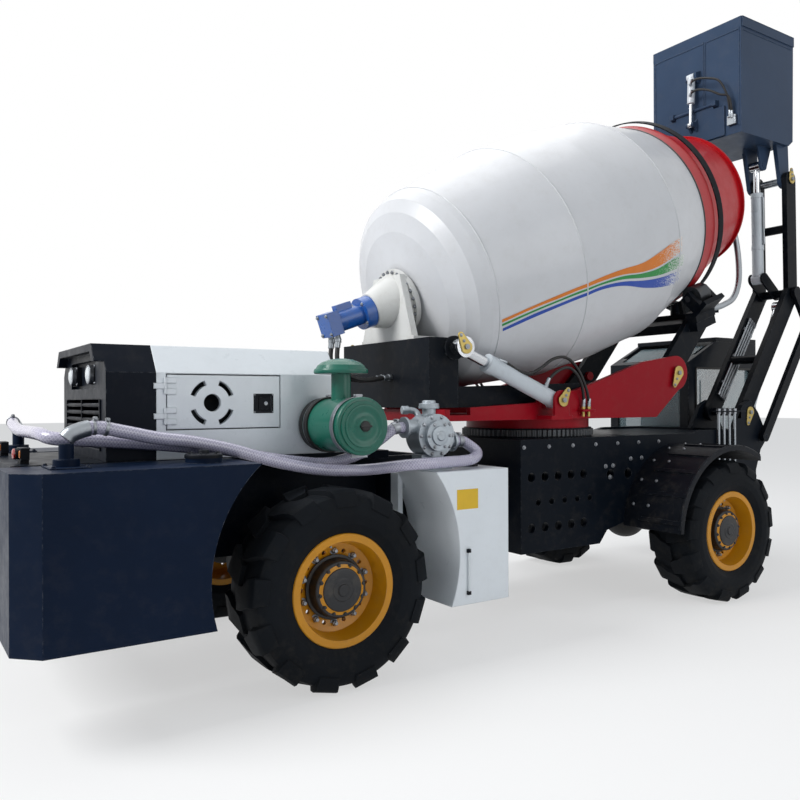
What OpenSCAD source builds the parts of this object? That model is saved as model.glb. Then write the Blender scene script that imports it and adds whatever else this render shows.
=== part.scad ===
// Self-loading articulated concrete mixer with a slewing drum.
// +X is forward (to the loading bucket), +Y is left, +Z is up, millimetres.

/* [Chassis] */
// distance between the two axles
wheelbase = 3390; // [3370:5:3410]
// thickness of the rear frame rails
rail_t = 40; // [30:2:50]
// thickness of the front frame side plates
side_plate_t = 40; // [30:2:44]
// radius of the articulation pin
hinge_pin_r = 45; // [40:1:50]

/* [Wheels] */
// rolling radius out to the tips of the lugs
tyre_r = 540; // [530:2:540]
// width of a tyre
tyre_w = 410; // [390:2:410]
// distance between the tyre centres of one axle
track = 1746; // [1740:2:1750]
// depth of the tread lugs
lug_h = 26; // [18:1:30]
// number of lug steps round a tyre
lug_n = 13; // [12:1:13]

/* [Tanks] */
// overall width over the tanks
tank_span = 2160; // [2150:2:2170]
// height of the top of the water tanks
tank_top = 1240; // [1236:1:1240]
// clear radius of the rear wheel arch
arch_r = 773; // [765:1:780]

/* [Hood] */
// half width of the hood
hood_hw = 540; // [536:1:540]
// height of the flat top of the hood
hood_top = 1850; // [1840:2:1856]
// wall of the hood and cowl
hood_t = 30; // [24:2:32]

/* [Drum] */
// largest radius of the drum
drum_r = 925; // [910:1:930]
// wall of the drum
drum_t = 18; // [14:1:24]
// radius of the mouth rim
mouth_r = 577; // [565:1:585]

/* [Boom] */
// half width of the boom's lower section
arm_lo = 85; // [75:1:90]
// half width of the boom's upper section
arm_up = 75; // [68:1:80]
// wall of the bucket
bucket_t = 16; // [12:1:20]
// height of the bucket
bucket_h = 1040; // [1020:2:1060]
// half width of the bucket
bucket_hw = 480; // [470:2:486]

/* [Cab] */
// height of the top of the cab
cab_top = 2155; // [2140:1:2165]
// wall of the cab
cab_t = 40; // [36:1:44]

/* [Hidden] */
$fn = 48;

x_mid = 1900;
tank_hw = tank_span / 2;
track_h = track / 2;
axle_z = tyre_r;
fx = wheelbase;
art_x = 1400;
slew_x = 2250;
ear = [3400, 1768];
tilt_lo = [1950, 1548];
tilt_hi = [1100, 1894];
tilt_y = 610;
drum_c = [2260, 2690];
drum_a = 19.41;
pin_a = [4400, 1435];
pin_c = [4430, 1044];
pin_k = [5170, 2556];
pin_t = [5150, 3630];
pin_d = pin_a + 1200 * (pin_k - pin_a) / norm(pin_k - pin_a);
lvl = [160, -220];
crk = [-190, 141];
arm_r0 = -500;
arm_r1 = -450;
arm_l0 = -185;
arm_l1 = -135;
lift_y = -395;
crk_y = -268;
door_x0 = -800;
door_x1 = -135;
door_z0 = 1400;
door_z1 = 1690;
cab_x0 = 4320;
cab_x1 = 5400;
cab_y0 = 30;
cab_y1 = 980;
cab_z0 = 550;
hose_r = 33;
run = 0.3;

module box(x0, x1, y0, y1, z0, z1) {
  translate([x0, y0, z0]) cube([x1 - x0, y1 - y0, z1 - z0]);
}

module xcyl(x0, x1, y, z, r) {
  translate([x0, y, z]) rotate([0, 90, 0]) cylinder(r = r, h = x1 - x0);
}

module ycyl(p, y0, y1, r) {
  translate([p[0], y0, p[1]]) rotate([-90, 0, 0]) cylinder(r = r, h = y1 - y0);
}

module zcyl(x, y, z0, z1, r) {
  translate([x, y, z0]) cylinder(r = r, h = z1 - z0);
}

module plate_xz(pts, y0, y1) {
  translate([0, y1, 0]) rotate([90, 0, 0]) linear_extrude(y1 - y0) polygon(pts);
}

module plate_yz(pts, x0, x1) {
  translate([x0, 0, 0]) rotate([90, 0, 90]) linear_extrude(x1 - x0) polygon(pts);
}

module plate_xy(pts, z0, z1) {
  translate([0, 0, z0]) linear_extrude(z1 - z0) polygon(pts);
}

function nrm(p, q) = [q[1] - p[1], p[0] - q[0]] / norm(q - p);

module bar(p, q, r, y0, y1) {
  n = nrm(p, q) * r;
  ycyl(p, y0, y1, r);
  ycyl(q, y0, y1, r);
  plate_xz([p + n, p - n, q - n, q + n], y0, y1);
}

module rod(p, q, y, r) {
  translate([p[0], y, p[1]]) rotate([0, atan2(q[0] - p[0], q[1] - p[1]), 0]) cylinder(r = r,
      h = norm(q - p));
}

function along(p, q, d) = p + (q - p) * d / norm(q - p);

module both() {
  children();
  mirror([0, 1, 0]) children();
}

// chassis, rear half

module rear_rail() {
  plate_xz([[-1540, 660], [700, 660], [1000, 700], [1000, 1190], [-1540, 1190]], 340, 340 + rail_t);
}

module yoke(z0, z1) {
  difference() {
    union() {
      plate_xy([[960, -340], [960, 340], [1260, 170], [1400, 130], [1400, -130], [1260, -170]], z0, z1);
      zcyl(art_x, 0, z0, z1, 130);
    }
    zcyl(art_x, 0, z0 - 1, z1 + 1, hinge_pin_r + run);
  }
}

module rear_frame() color("#20242a") {
  difference() {
    union() {
      both() rear_rail();
      box(-1540, -1500, -560, 560, 560, 1190);
      box(-900, -860, -340, 340, 700, 1190);
      box(300, 340, -340, 340, 700, 1190);
      box(960, 1000, -380, 380, 640, 1190);
      box(-1540, 600, -hood_hw, hood_hw, 1190, tank_top);
      both() box(-1500, -1460, 380, 560, 560, 1190);
      both() box(600, 640, 380, 560, 560, 1140);
      both() box(-120, 120, 300, 400, axle_z + 110, 664);
      yoke(1080, 1130);
      yoke(610, 660);
      box(-1600, -1540, -90, -50, 640, 820);
      box(-1600, -1540, 50, 90, 640, 820);
      box(-1600, -1540, -90, 90, 640, 680);
      box(-1600, -1540, -90, 90, 780, 820);
    }
    zcyl(-1572, 0, 600, 860, 21);
    for (y = [-200, 200]) xcyl(-1560, -1480, y, 1000, 30);
  }
}

module axle(x) {
  difference() {
    union() {
      translate([x, 0, axle_z]) sphere(r = 185);
      ycyl([x, axle_z], -(track_h - 110), track_h - 110, 95);
      xcyl(x - 230, x + 230, 0, axle_z, 70);
      both() ycyl([x, axle_z], track_h - 150, track_h - 110, 150);
      both() ycyl([x, axle_z], track_h - 120, track_h + 60, 60);
      both() box(x - 100, x + 100, 300, 400, axle_z + 40, axle_z + 110);
    }
  }
}

module rear_axle() color("#1c1f23") axle(0);

module engine() color("#3b4046") {
  box(-700, 0, -300, 300, tank_top, 1560);
  box(-600, -100, -180, 180, 1560, 1660);
  xcyl(-780, -700, 0, 1480, 200);
}

function hood_pts(g) = [[-hood_hw + g, tank_top + (g > 0 ? -1 : 0)], [-hood_hw + g, 1700 - g * 0.35],
  [-430 + g * 0.75, hood_top - g], [430 - g * 0.75, hood_top - g], [hood_hw - g, 1700 - g * 0.35],
  [hood_hw - g, tank_top + (g > 0 ? -1 : 0)]];

module hood_leaf(side, x, z0, z1, dir) {
  y0 = side * (hood_hw + 10);
  translate([x, y0, z0]) cylinder(r = 8, h = z1 - z0, $fn = 24);
  a = dir > 0 ? x + 10 : x - 60;
  b = dir > 0 ? x + 60 : x - 10;
  translate([a, min(side * hood_hw, side * (hood_hw + 12)), z0]) cube([b - a, 12, z1 - z0]);
  c = dir > 0 ? x : x - 12;
  translate([c, min(side * (hood_hw + 6), side * (hood_hw + 12)), z0]) cube([12, 6, z1 - z0]);
}

module hood() color("#e9edf0") {
  difference() {
    union() {
      difference() {
        plate_yz(hood_pts(0), -845, 230);
        plate_yz(hood_pts(hood_t), -846, 230 - hood_t);
      }
    }
    both() box(door_x0 + 6, door_x1, hood_hw - hood_t - 4, hood_hw + 4, door_z0 - 6, door_z1 + 6);
    for (y = [-300 : 60 : 300]) box(190, 240, y - 12, y + 12, 1350, 1600);
  }
  for (s = [-1, 1]) for (z = [1455.3, 1615.3]) hood_leaf(s, door_x0, z, z + 29.4, -1);
}

module hood_door(s) {
  y0 = s > 0 ? hood_hw - hood_t : -hood_hw;
  y1 = y0 + hood_t;
  difference() {
    box(door_x0 + 12, door_x1 - 6, y0, y1, door_z0, door_z1);
    ycyl([-540, 1540], y0 - 5, y1 + 5, 48);
    intersection() {
      difference() {
        ycyl([-540, 1540], y0 - 5, y1 + 5, 128);
        ycyl([-540, 1540], y0 - 6, y1 + 6, 100);
      }
      for (a = [45 : 90 : 315]) translate([-540, 0, 1540]) rotate([0, a, 0])
        plate_xz([[0, 0], [200, -95], [200, 95]], y0 - 10, y1 + 10);
    }
    box(-290, -190, s > 0 ? y1 - 12 : y0 - 1, s > 0 ? y1 + 1 : y0 + 12, 1490, 1580);
  }
  for (z = [1425, 1485, 1585, 1645]) hood_leaf(s, door_x0, z, z + 30, 1);
}

module hood_door_right() color("#e9edf0") hood_door(-1);

module hood_door_left() color("#e9edf0") hood_door(1);

module rear_cowl() color("#15181c") {
  difference() {
    union() {
      difference() {
        plate_yz(hood_pts(0), -1100, -845.3);
        plate_yz(hood_pts(hood_t), -1100 + hood_t, -845);
      }
      difference() {
        plate_yz(hood_pts(0), -1150, -1100);
        plate_yz(hood_pts(40), -1151, -1099);
        box(-1190, -1090, -700, 700, 1200, 1755);
      }
    }
    for (z = [1300 : 40 : 1540]) box(-1110, -1060, -420, 420, z, z + 20);
    box(-1110, -1060, -310, 310, 1620, 1770);
  }
  box(-1070, -1060, -330, 330, 1600, 1790);
}

module work_lamps() color("#dfe6ea") {
  for (y = [-225, 225]) {
    box(-1095, -1070, y - 55, y + 55, 1640, 1750);
    xcyl(-1120, -1095, y, 1695, 48);
  }
}

module tank_plan(s, z0, z1) {
  plate_xy([[-1600, s * 600], [-1600, s * (tank_hw - 115)], [-1485, s * tank_hw], [0, s * tank_hw],
    [0, s * 600]], z0, z1);
}

module water_tank(s) {
  difference() {
    tank_plan(s, 450, tank_top);
    translate([30, 0, 660]) rotate([90, 0, 0]) cylinder(r = arch_r, h = 4000, center = true, $fn = 96);
  }
  box(-1460, -1500, s > 0 ? 560 : -600, s > 0 ? 600 : -560, 700, 1150);
  zcyl(-1330, s * 760, tank_top, tank_top + 40, 60);
  zcyl(-1330, s * 760, tank_top + 40, tank_top + (s < 0 ? 112.5 : 115), 34);
  zcyl(-700, s * 850, tank_top, tank_top + 30, 90);
}

module right_water_tank() color("#1b2733") water_tank(-1);

module left_water_tank() color("#1b2733") water_tank(1);

module side_tank(s) {
  difference() {
    box(400, 1110, s > 0 ? 560 : -tank_hw, s > 0 ? tank_hw : -560, 360, 1140);
    translate([-30, 0, 660]) rotate([90, 0, 0]) cylinder(r = arch_r, h = 4000, center = true, $fn = 96);
    box(560, 660, s > 0 ? 550 : -640, s > 0 ? 640 : -550, 300, 1200);
  }
  box(602, 638, s > 0 ? 560 : -640, s > 0 ? 640 : -560, 600, 1100);
}

module fuel_tank() color("#eef0f0") side_tank(-1);

module hydraulic_tank() color("#1b2733") side_tank(1);

module air_cleaner() color("#1f7a5c") {
  ycyl([120, 1410], -1030, -560, 150);
  ycyl([120, 1410], -1050, -1030, 138);
  ycyl([120, 1410], -560, -hood_hw, 70);
  for (y = [-980, -660]) ycyl([120, 1410], y, y + 30, 156);
  zcyl(117, -800, 1540, 1700, 55);
  zcyl(117, -800, 1700, 1725, 145);
  translate([117, -800, 1725]) rotate_extrude() polygon([[0, 0], [145, 0], [132, 22], [108, 40],
      [70, 54], [30, 60], [0, 61]]);
}

module water_pump() color("#9aa3aa") {
  box(560, 800, -930, -770, 1140, 1160);
  box(600, 760, -900, -800, 1160, 1230);
  ycyl([690, 1340], -930, -790, 128);
  ycyl([690, 1340], -960, -930, 90);
  ycyl([690, 1340], -790, -700, 70);
  xcyl(800, 850, -850, 1300, 46);
  xcyl(850, 866, -850, 1300, 62);
  xcyl(520, 600, -850, 1390, 46);
  xcyl(504, 520, -850, 1390, 62);
  zcyl(690, -850, 1440, 1500, 40);
  zcyl(690, -850, 1500, 1516, 62);
}

// hoses, swept rings along hand-chosen route points

hose_a = [[-1330, -760, 1372], [-1300, -760, 1400], [-1200, -760, 1425], [-1060, -755, 1400],
    [-900, -745, 1365],
  [-720, -740, 1340], [-500, -745, 1290], [-250, -765, 1215], [0, -800, 1165], [250, -840, 1155],
  [450, -1010, 1185], [700, -1030, 1190], [900, -990, 1195], [1000, -920, 1230], [960, -850, 1290],
  [915, -850, 1299], [890, -850, 1300], [867, -850, 1300]];
hose_b = [[-1330, 760, 1372], [-1360, 740, 1420], [-1390, 500, 1410], [-1400, 200, 1390],
    [-1400, -200, 1390],
  [-1400, -480, 1390], [-1350, -600, 1370], [-1150, -640, 1355], [-900, -650, 1332], [-650, -650, 1303],
  [-480, -650, 1284], [-300, -650, 1240], [-100, -655, 1206], [100, -670, 1190], [280, -720, 1235],
  [370, -800, 1320], [430, -842, 1378], [462, -850, 1390], [482, -850, 1390], [503, -850, 1390]];

function catmull(a, b, c, d, t) = 0.5 * (2 * b + (c - a) * t + (2 * a - 5 * b + 4 * c - d) * t * t
  + (3 * b - a - 3 * c + d) * t * t * t);
function smooth(p, m) = [for (i = [0 : len(p) - 2]) for (j = [0 : m - 1])
  catmull(p[max(i - 1, 0)], p[i], p[i + 1], p[min(i + 2, len(p) - 1)], j / m), p[len(p) - 1]];
function unit(v) = v / norm(v);
function tangent(p, i) = unit(p[min(i + 1, len(p) - 1)] - p[max(i - 1, 0)]);

module sweep(p, r, n) {
  up = [0.05, 0.13, 1];
  rings = [for (i = [0 : len(p) - 1]) let (t = tangent(p, i), u = unit(cross(t, up)), v = cross(u, t))
    for (k = [0 : n - 1]) p[i] + r * (cos(k * 360 / n) * u + sin(k * 360 / n) * v)];
  m = len(p);
  polyhedron(rings, concat([[for (k = [0 : n - 1]) k]],
    [for (i = [0 : m - 2]) for (k = [0 : n - 1])
      [i * n + k, (i + 1) * n + k, (i + 1) * n + (k + 1) % n, i * n + (k + 1) % n]],
    [[for (k = [n - 1 : -1 : 0]) (m - 1) * n + k]]));
}

module water_hose_right() color("#9a93a8") sweep(smooth(hose_a, 3), hose_r, 10);

module water_hose_left() color("#9a93a8") sweep(smooth(hose_b, 3), hose_r, 10);

module rear_lamps() color("#7a2018") {
  for (y = [-420, 330]) {
    box(-1480, -1440, y, y + 90, tank_top, tank_top + 20);
    box(-1480, -1440, y - 20, y + 110, tank_top + 20, tank_top + 80);
    xcyl(-1500, -1480, y + 45, tank_top + 50, 28);
  }
}

// wheels, local +Y is outward

function tyre_ring(i) = let (a = i * 360 / (4 * lug_n), w = tyre_w / 2, lo = tyre_r - lug_h,
  l = (i % 4 < 2) ? tyre_r : lo, m = (i % 4 < 2) ? lo : tyre_r)
  [for (q = [[-160, 281], [-160, 310], [-w, 400], [-w, 455], [-w + 18, l - 30], [-w + 45, l], [-12, l],
    [12, m], [w - 45, m], [w - 18, m - 30], [w, 455], [w, 400], [160, 310], [160, 281]])
    [q[1] * sin(a), q[0], q[1] * cos(a)]];

module tyre() {
  n = 4 * lug_n;
  k = 14;
  pts = [for (i = [0 : n - 1]) each tyre_ring(i)];
  polyhedron(pts, [for (i = [0 : n - 1]) for (j = [0 : k - 1])
    [i * k + j, i * k + (j + 1) % k, ((i + 1) % n) * k + (j + 1) % k, ((i + 1) % n) * k + j]]);
}

module rim() {
  rotate([-90, 0, 0]) difference() {
    rotate_extrude($fn = 64) polygon([[262, -172], [300, -172], [306, -164], [306, -161], [280, -161],
      [280, 161], [306, 161], [306, 166], [300, 174], [262, 174], [252, 120], [240, 60], [165, 40],
          [150, 62], [150, 130],
      [110, 148], [0, 148], [0, 64], [60.3, 64], [60.3, -100], [150, -100], [150, 20], [230, 30],
          [252, -30], [262, -120]]);
    for (a = [0 : 36 : 324]) rotate([0, 0, a]) translate([196, 0, 20]) cylinder(r = 12, h = 60, $fn = 16);
  }
}

module wheel(x, s) {
  translate([x, s * track_h, axle_z]) rotate([0, 0, s > 0 ? 0 : 180]) children();
}

module tyre_rear_right() color("#17181a") wheel(0, -1) tyre();

module tyre_rear_left() color("#17181a") wheel(0, 1) tyre();

module tyre_front_right() color("#17181a") wheel(fx, -1) tyre();

module tyre_front_left() color("#17181a") wheel(fx, 1) tyre();

module rim_rear_right() color("#e0a020") wheel(0, -1) rim();

module rim_rear_left() color("#e0a020") wheel(0, 1) rim();

module rim_front_right() color("#e0a020") wheel(fx, -1) rim();

module rim_front_left() color("#e0a020") wheel(fx, 1) rim();

// chassis, front half

module side_plate() {
  difference() {
    plate_xz([[1690, 465], [2480, 465], [2560, 560], [3100, 680], [4250, 680], [4250, 1290],
        [3700, 1290], [3600, 1270],
      [1690, 1250]], 550 - side_plate_t, 550);
    for (x = [1790 : 130 : 2310]) for (z = [640, 1000]) ycyl([x, z], 500, 560, 34);
    for (x = [1855 : 130 : 2375]) ycyl([x, 820], 500, 560, 24);
    for (x = [2600 : 200 : 3600]) ycyl([x, 980], 500, 560, 40);
  }
}

module hinge_lug(z0, z1) {
  plate_xy([[1690, -300], [1690, 300], [1480, 110], [1400, 110], [1400, -110], [1480, -110]], z0, z1);
  zcyl(art_x, 0, z0, z1, 110);
}

module tower(y0, y1) {
  plate_xz([[4150, 680], [4480, 900], [4560, 1100], [4640, 1180], [4640, 1250], [4520, 1435],
      [4400, 1545], [4290, 1500],
    [4150, 1290]], y0, y1);
}

module front_frame() color("#1a1d22") {
  difference() {
    union() {
      both() side_plate();
      box(1690, 4250, -550, 550, 1230, 1270);
      box(1690, 1730, -550, 550, 465, 1250);
      box(2440, 2480, -510, 510, 480, 1230);
      box(3060, 3100, -510, 510, 690, 1230);
      box(3760, 3800, -510, 510, 690, 1230);
      box(4210, 4250, -550, 550, 690, 1290);
      both() box(fx - 130, fx + 130, 300, 520, axle_z + 110, 720);
      zcyl(slew_x, 0, 1270, 1338, 500);
      hinge_lug(1024, 1072);
      hinge_lug(668, 716);
      zcyl(art_x, 0, 590, 1150, hinge_pin_r);
      tower(-550, -510);
      tower(-125, -85);
      box(4250, 4440, -345, -325, 980, 1110);
      ycyl(pin_c, -512, -325, 26);
      ycyl(pin_a, -550, -85, 35);
      ycyl(pin_a + lvl, -606, -510, 22);
      box(4250, cab_x0, 60, 540, 700, 1200);
    }
    zcyl(slew_x, 0, 1200, 1400, 300);
    box(1740, 2430, -500, 500, 440, 500);
  }
}

module front_axle() color("#1c1f23") axle(fx);

module front_mudguards() color("#16181b") {
  both() difference() {
    ycyl([fx, axle_z], 550, tank_hw, 650);
    ycyl([fx, axle_z], 500, tank_hw + 10, 620);
    box(fx - 700, fx + 700, 500, tank_hw + 10, -200, axle_z + 40);
    box(fx + 330, fx + 700, 500, tank_hw + 10, axle_z, axle_z + 700);
  }
  both() for (a = [-80 : 18 : 28]) translate([fx, 700, axle_z]) rotate([0, a, 0])
    translate([-15, 0, 636]) cube([30, tank_hw - 700, 26]);
}

// cab

function cab_out(g) = [[cab_x0 + g, cab_z0 + g], [cab_x1 - g, cab_z0 + g],
    [cab_x1 - g, cab_top + (g > 0 ? 9 : -40)],
  [4745 + g * 0.3, cab_top + (g > 0 ? 9 : -40)], [cab_x0 + g, 1905 - g * 0.55 + (g > 0 ? 26 : 0)]];

module cab_frame() color("#23272d") {
  difference() {
    plate_xz(cab_out(0), cab_y0, cab_y1);
    plate_xz(cab_out(cab_t), cab_y0 + cab_t, cab_y1 - cab_t);
    box(4430, 5300, cab_y0 - 5, cab_y0 + cab_t + 5, 1250, 1850);
    box(cab_x0 - 5, cab_x0 + cab_t + 5, 130, 880, 1250, 1800);
    box(cab_x1 - cab_t - 5, cab_x1 + 5, 130, 880, 950, 2040);
    box(4424, 5246, cab_y1 - cab_t - 5, cab_y1 + 5, 604, 1926);
    translate([cab_x0, 0, 1905]) rotate([0, -atan2(cab_top - 40 - 1905, 425), 0])
      box(70, 410, 130, 880, -80, 30);
  }
  box(5246, 5290, cab_y1, cab_y1 + 8, 760, 800);
  box(5246, 5290, cab_y1, cab_y1 + 8, 1660, 1700);
  zcyl(5246, cab_y1 + 12, 760, 800, 9);
  zcyl(5246, cab_y1 + 12, 1660, 1700, 9);
}

module cab_roof() color("#1a1d21") {
  difference() {
    union() {
      box(4745, cab_x1, cab_y0, cab_y1, cab_top - 40, cab_top);
    }
    box(4850, 5250, 200, 800, cab_top - 8, cab_top + 5);
  }
}

module cab_glass() color("#9fb6bd") {
  box(4430, 5300, cab_y0 + 16, cab_y0 + 24, 1250, 1850);
  box(cab_x0 + 16, cab_x0 + 24, 130, 880, 1250, 1800);
  box(cab_x1 - 24, cab_x1 - 16, 130, 880, 950, 2040);
  translate([cab_x0, 0, 1905]) rotate([0, -atan2(cab_top - 40 - 1905, 425), 0])
    box(70, 410, 130, 880, -20, -12);
}

module cab_door() color("#23272d") {
  difference() {
    box(4430, 5240, cab_y1 - cab_t, cab_y1, 610, 1920);
    box(4510, 5160, cab_y1 - cab_t - 5, cab_y1 + 5, 1150, 1840);
    box(4460, 4540, cab_y1 - 14, cab_y1 + 5, 1030, 1080);
  }
  for (z = [721.7, 800.3, 1621.7, 1700.3]) {
    zcyl(5246, cab_y1 + 12, z, z + 38, 9);
    box(5190, 5238, cab_y1, cab_y1 + 12, z, z + 38);
    box(5236, 5246, cab_y1 + 7, cab_y1 + 14, z, z + 38);
  }
}

module cab_door_glass() color("#9fb6bd") {
  box(4510, 5160, cab_y1 - 24, cab_y1 - 16, 1150, 1840);
}

module cab_seat() color("#2a2d31") {
  box(4560, 4900, 330, 680, cab_z0 + cab_t, 850);
  box(4520, 4980, 270, 740, 850, 980);
  plate_xz([[4460, 860], [4520, 860], [4520, 980], [4580, 980], [4500, 1560], [4400, 1560]], 290, 720);
}

module cab_console() color("#565b61") {
  box(5160, cab_x1 - cab_t, cab_y0 + cab_t, 880, cab_z0 + cab_t, 920);
  rod([5240, 920], [5080, 1230], 505, 30);
  translate([5080, 505, 1230]) rotate([0, -27.3, 0]) rotate_extrude() translate([180, 0]) circle(r = 16,
      $fn = 16);
  translate([5080, 505, 1230]) rotate([0, -27.3, 0]) translate([-180, -15, -10]) cube([360, 30, 20]);
  translate([5080, 505, 1230]) rotate([0, -27.3, 0]) translate([-15, -180, -10]) cube([30, 360, 20]);
  box(4560, 5100, cab_y0 + cab_t, 200, cab_z0 + cab_t, 1080);
  for (x = [4760, 4880]) zcyl(x, 130, 1080, 1240, 12);
  for (x = [4760, 4880]) translate([x, 130, 1250]) sphere(r = 26);
}

// slewing bed and drum

module bed_plate() {
  difference() {
    union() {
      plate_xz([[1250, 1410], [3150, 1410], [3520, 1700], [3400, 1768], [3360, 1903], [3000, 1850],
          [2350, 1650],
        [1850, 1530], [1250, 1500]], 500, 540);
      ycyl(ear, 500, 540, 140);
    }
  }
}

module slew_bed() color("#8f0d1c") {
  difference() {
    union() {
      zcyl(slew_x, 0, 1338.3, 1410, 480);
      box(950, 3150, -540, 540, 1410, 1450);
      box(950, 990, -660, 660, 1410, 1490);
    }
    zcyl(slew_x, 0, 1300, 1500, 260);
    box(1060, 1500, -420, 420, 1400, 1460);
  }
  both() bed_plate();
  both() box(1850, 2050, 540, 695, 1410, 1440);
  both() box(1880, 2020, 675, 695, 1440, 1548);
  both() ycyl(tilt_lo, 675, 695, 70);
  both() ycyl(tilt_lo, 500, 545, 70);
  both() ycyl(tilt_lo, 540, 705, 30);
  both() ycyl(ear, 400, 560, 40);
}

module tilt_barrels() color("#e6e9eb") {
  both() difference() {
    union() {
      ycyl(tilt_lo, tilt_y - 40, tilt_y + 40, 58);
      rod(tilt_lo, along(tilt_lo, tilt_hi, 640), tilt_y, 58);
      rod(along(tilt_lo, tilt_hi, 600), along(tilt_lo, tilt_hi, 670), tilt_y, 64);
    }
    ycyl(tilt_lo, tilt_y - 60, tilt_y + 60, 30 + run);
    rod(along(tilt_lo, tilt_hi, 150), along(tilt_lo, tilt_hi, 700), tilt_y, 36 + run);
  }
}

module tilt_rods() color("#c9ccd0") {
  both() {
    rod(along(tilt_lo, tilt_hi, 200), tilt_hi, tilt_y, 36);
    ycyl(tilt_hi, tilt_y - 32, tilt_y + 40, 56);
    ycyl(tilt_hi, tilt_y - 33, tilt_y + 80, 30);
    ycyl(tilt_hi, tilt_y + 58, tilt_y + 80, 70);
  }
}

module drum_frame() {
  translate([drum_c[0], 0, drum_c[1]]) rotate([0, -drum_a, 0]) children();
}

ring_s = 1258;
ring_r = 790;
roll_r = 90;
roll_a = 36;
roll_d = ring_r + 14 + roll_r + run;

module cradle_rail() {
  difference() {
    union() {
      plate_xz([[900, 1500], [3300, 1560], [3480, 1700], [3960, 2260], [3920, 2420], [3800, 2400],
          [3330, 1860], [3150, 1700],
        [1150, 1640], [900, 1700]], 430, 480);
      ycyl(ear, 430, 480, 110);
    }
    ycyl(ear, 400, 560, 40 + run);
  }
}

module drum_cradle() color("#14171b") {
  difference() {
    union() {
      both() cradle_rail();
      box(900, 1130, -560, 560, 1500, 1960);
      both() box(1060, 1140, 500, 556, 1500, 1960);
      box(1130, 1500, -480, 480, 1500, 1560);
      box(3000, 3060, -430, 430, 1556, 1650);
      box(3830, 3900, -430, 430, 2220, 2300);
      box(3880, 4190, -70, 70, 2240, 2300);
      zcyl(chute_x, 0, 2300, 2346, 60);
      zcyl(chute_x, 0, 2340, 2430, 34);
      both() ycyl(tilt_hi, 550, 572, 80);
      drum_frame() both() rotate([roll_a, 0, 0]) {
        translate([ring_s - 130, -100, -roll_d - 150]) cube([260, 200, 40]);
        translate([ring_s - 130, -50, -roll_d - 150]) cube([50, 100, 190]);
        translate([ring_s + 80, -50, -roll_d - 150]) cube([50, 100, 190]);
      }
      drum_frame() translate([ring_s - 130, -560, -roll_d - 110]) cube([260, 1120, 80]);
      drum_frame() both() translate([ring_s - 130, 470, -roll_d - 40]) cube([260, 100, 90]);
      drum_frame() both() translate([ring_s + 92, 250, -roll_d - 40]) cube([36, 40, 155]);
      drum_frame() difference() {
        translate([ring_s + 90, 0, 0]) rotate([0, 90, 0]) cylinder(r = ring_r + 40, h = 60, $fn = 96);
        translate([ring_s + 89, 0, 0]) rotate([0, 90, 0]) cylinder(r = ring_r + 30, h = 62, $fn = 96);
      }
    }
    drum_frame() both() rotate([roll_a, 0, 0]) translate([ring_s, 0, -roll_d]) rotate([0, 90, 0])
      cylinder(r = 25 + run, h = 290, center = true);
  }
}

module roller() {
  drum_frame() rotate([roll_a, 0, 0]) translate([ring_s, 0, -roll_d]) rotate([0, 90, 0]) {
    cylinder(r = roll_r, h = 140, center = true);
    cylinder(r = 25, h = 250, center = true);
  }
}

module roller_left() color("#3a3d40") roller();

module roller_right() color("#3a3d40") mirror([0, 1, 0]) roller();

module drum_gearbox() color("#e4e6e6") {
  difference() {
    union() {
      drum_frame() translate([-1560, 0, 0]) rotate([0, 90, 0]) cylinder(r1 = 120, r2 = 205, h = 240);
      drum_frame() translate([-1320, 0, 0]) rotate([0, 90, 0]) cylinder(r = 230, h = 40 - run);
      plate_yz([[-330, 1960], [330, 1960], [170, 2420], [-170, 2420]], 930, 978);
      box(930, 1110, -340, 340, 1960, 1985);
      both() plate_xz([[930, 1980], [1060, 1980], [1010, 2200], [960, 2200]], 140, 165);
    }
  }
}

module drum_motor() color("#1d5fae") {
  drum_frame() {
    translate([-1640, 0, 0]) rotate([0, 90, 0]) cylinder(r = 110, h = 79.7);
    translate([-1860, 0, 0]) rotate([0, 90, 0]) cylinder(r = 72, h = 220);
    translate([-1930, -80, -80]) cube([90, 160, 160]);
    translate([-1820, -30, 60]) cube([120, 60, 50]);
  }
}

module drum_shell() color("#e8e9e7") {
  k = drum_r - 925;
  drum_frame() rotate([0, 90, 0]) {
    rotate_extrude($fn = 96) polygon([[0, -1262], [260, -1258], [480, -1240], [610, -1205],
        [690, -1150], [730, -1070],
      [744, -1022], [890 + k, -321], [925 + k, 150], [920 + k, 697], [785, 1252],
      [785 - drum_t, 1252], [920 + k - drum_t, 697], [925 + k - drum_t, 150], [890 + k - drum_t, -321],
      [744 - drum_t, -1018], [712, -1066], [672, -1138], [598, -1190], [476, -1222], [260, -1240],
          [0, -1244]]);
    for (q = [[744, -1022], [890 + k, -321], [920 + k, 697]]) translate([0, 0, q[1]])
      rotate_extrude($fn = 96) translate([q[0] - 1, 0]) circle(r = 6, $fn = 12);
    rotate_extrude($fn = 96) polygon([[ring_r - 22, ring_s - 60], [ring_r + 14, ring_s - 60],
        [ring_r + 14, ring_s + 60],
      [ring_r - 22, ring_s + 60]]);
    translate([0, 0, -1280]) cylinder(r = 190, h = 24);
  }
}

module drum_mouth() color("#b81420") {
  drum_frame() rotate([0, 90, 0]) rotate_extrude($fn = 96)
    polygon([[800, ring_s + 60], [800, ring_s + 74], [764, ring_s + 84], [mouth_r, 2076],
        [mouth_r + 24, 2080], [mouth_r + 24, 2096], [mouth_r - 16, 2096],
      [746, ring_s + 80], [770, ring_s + 60]]);
}

chute_x = 4120;

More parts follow.
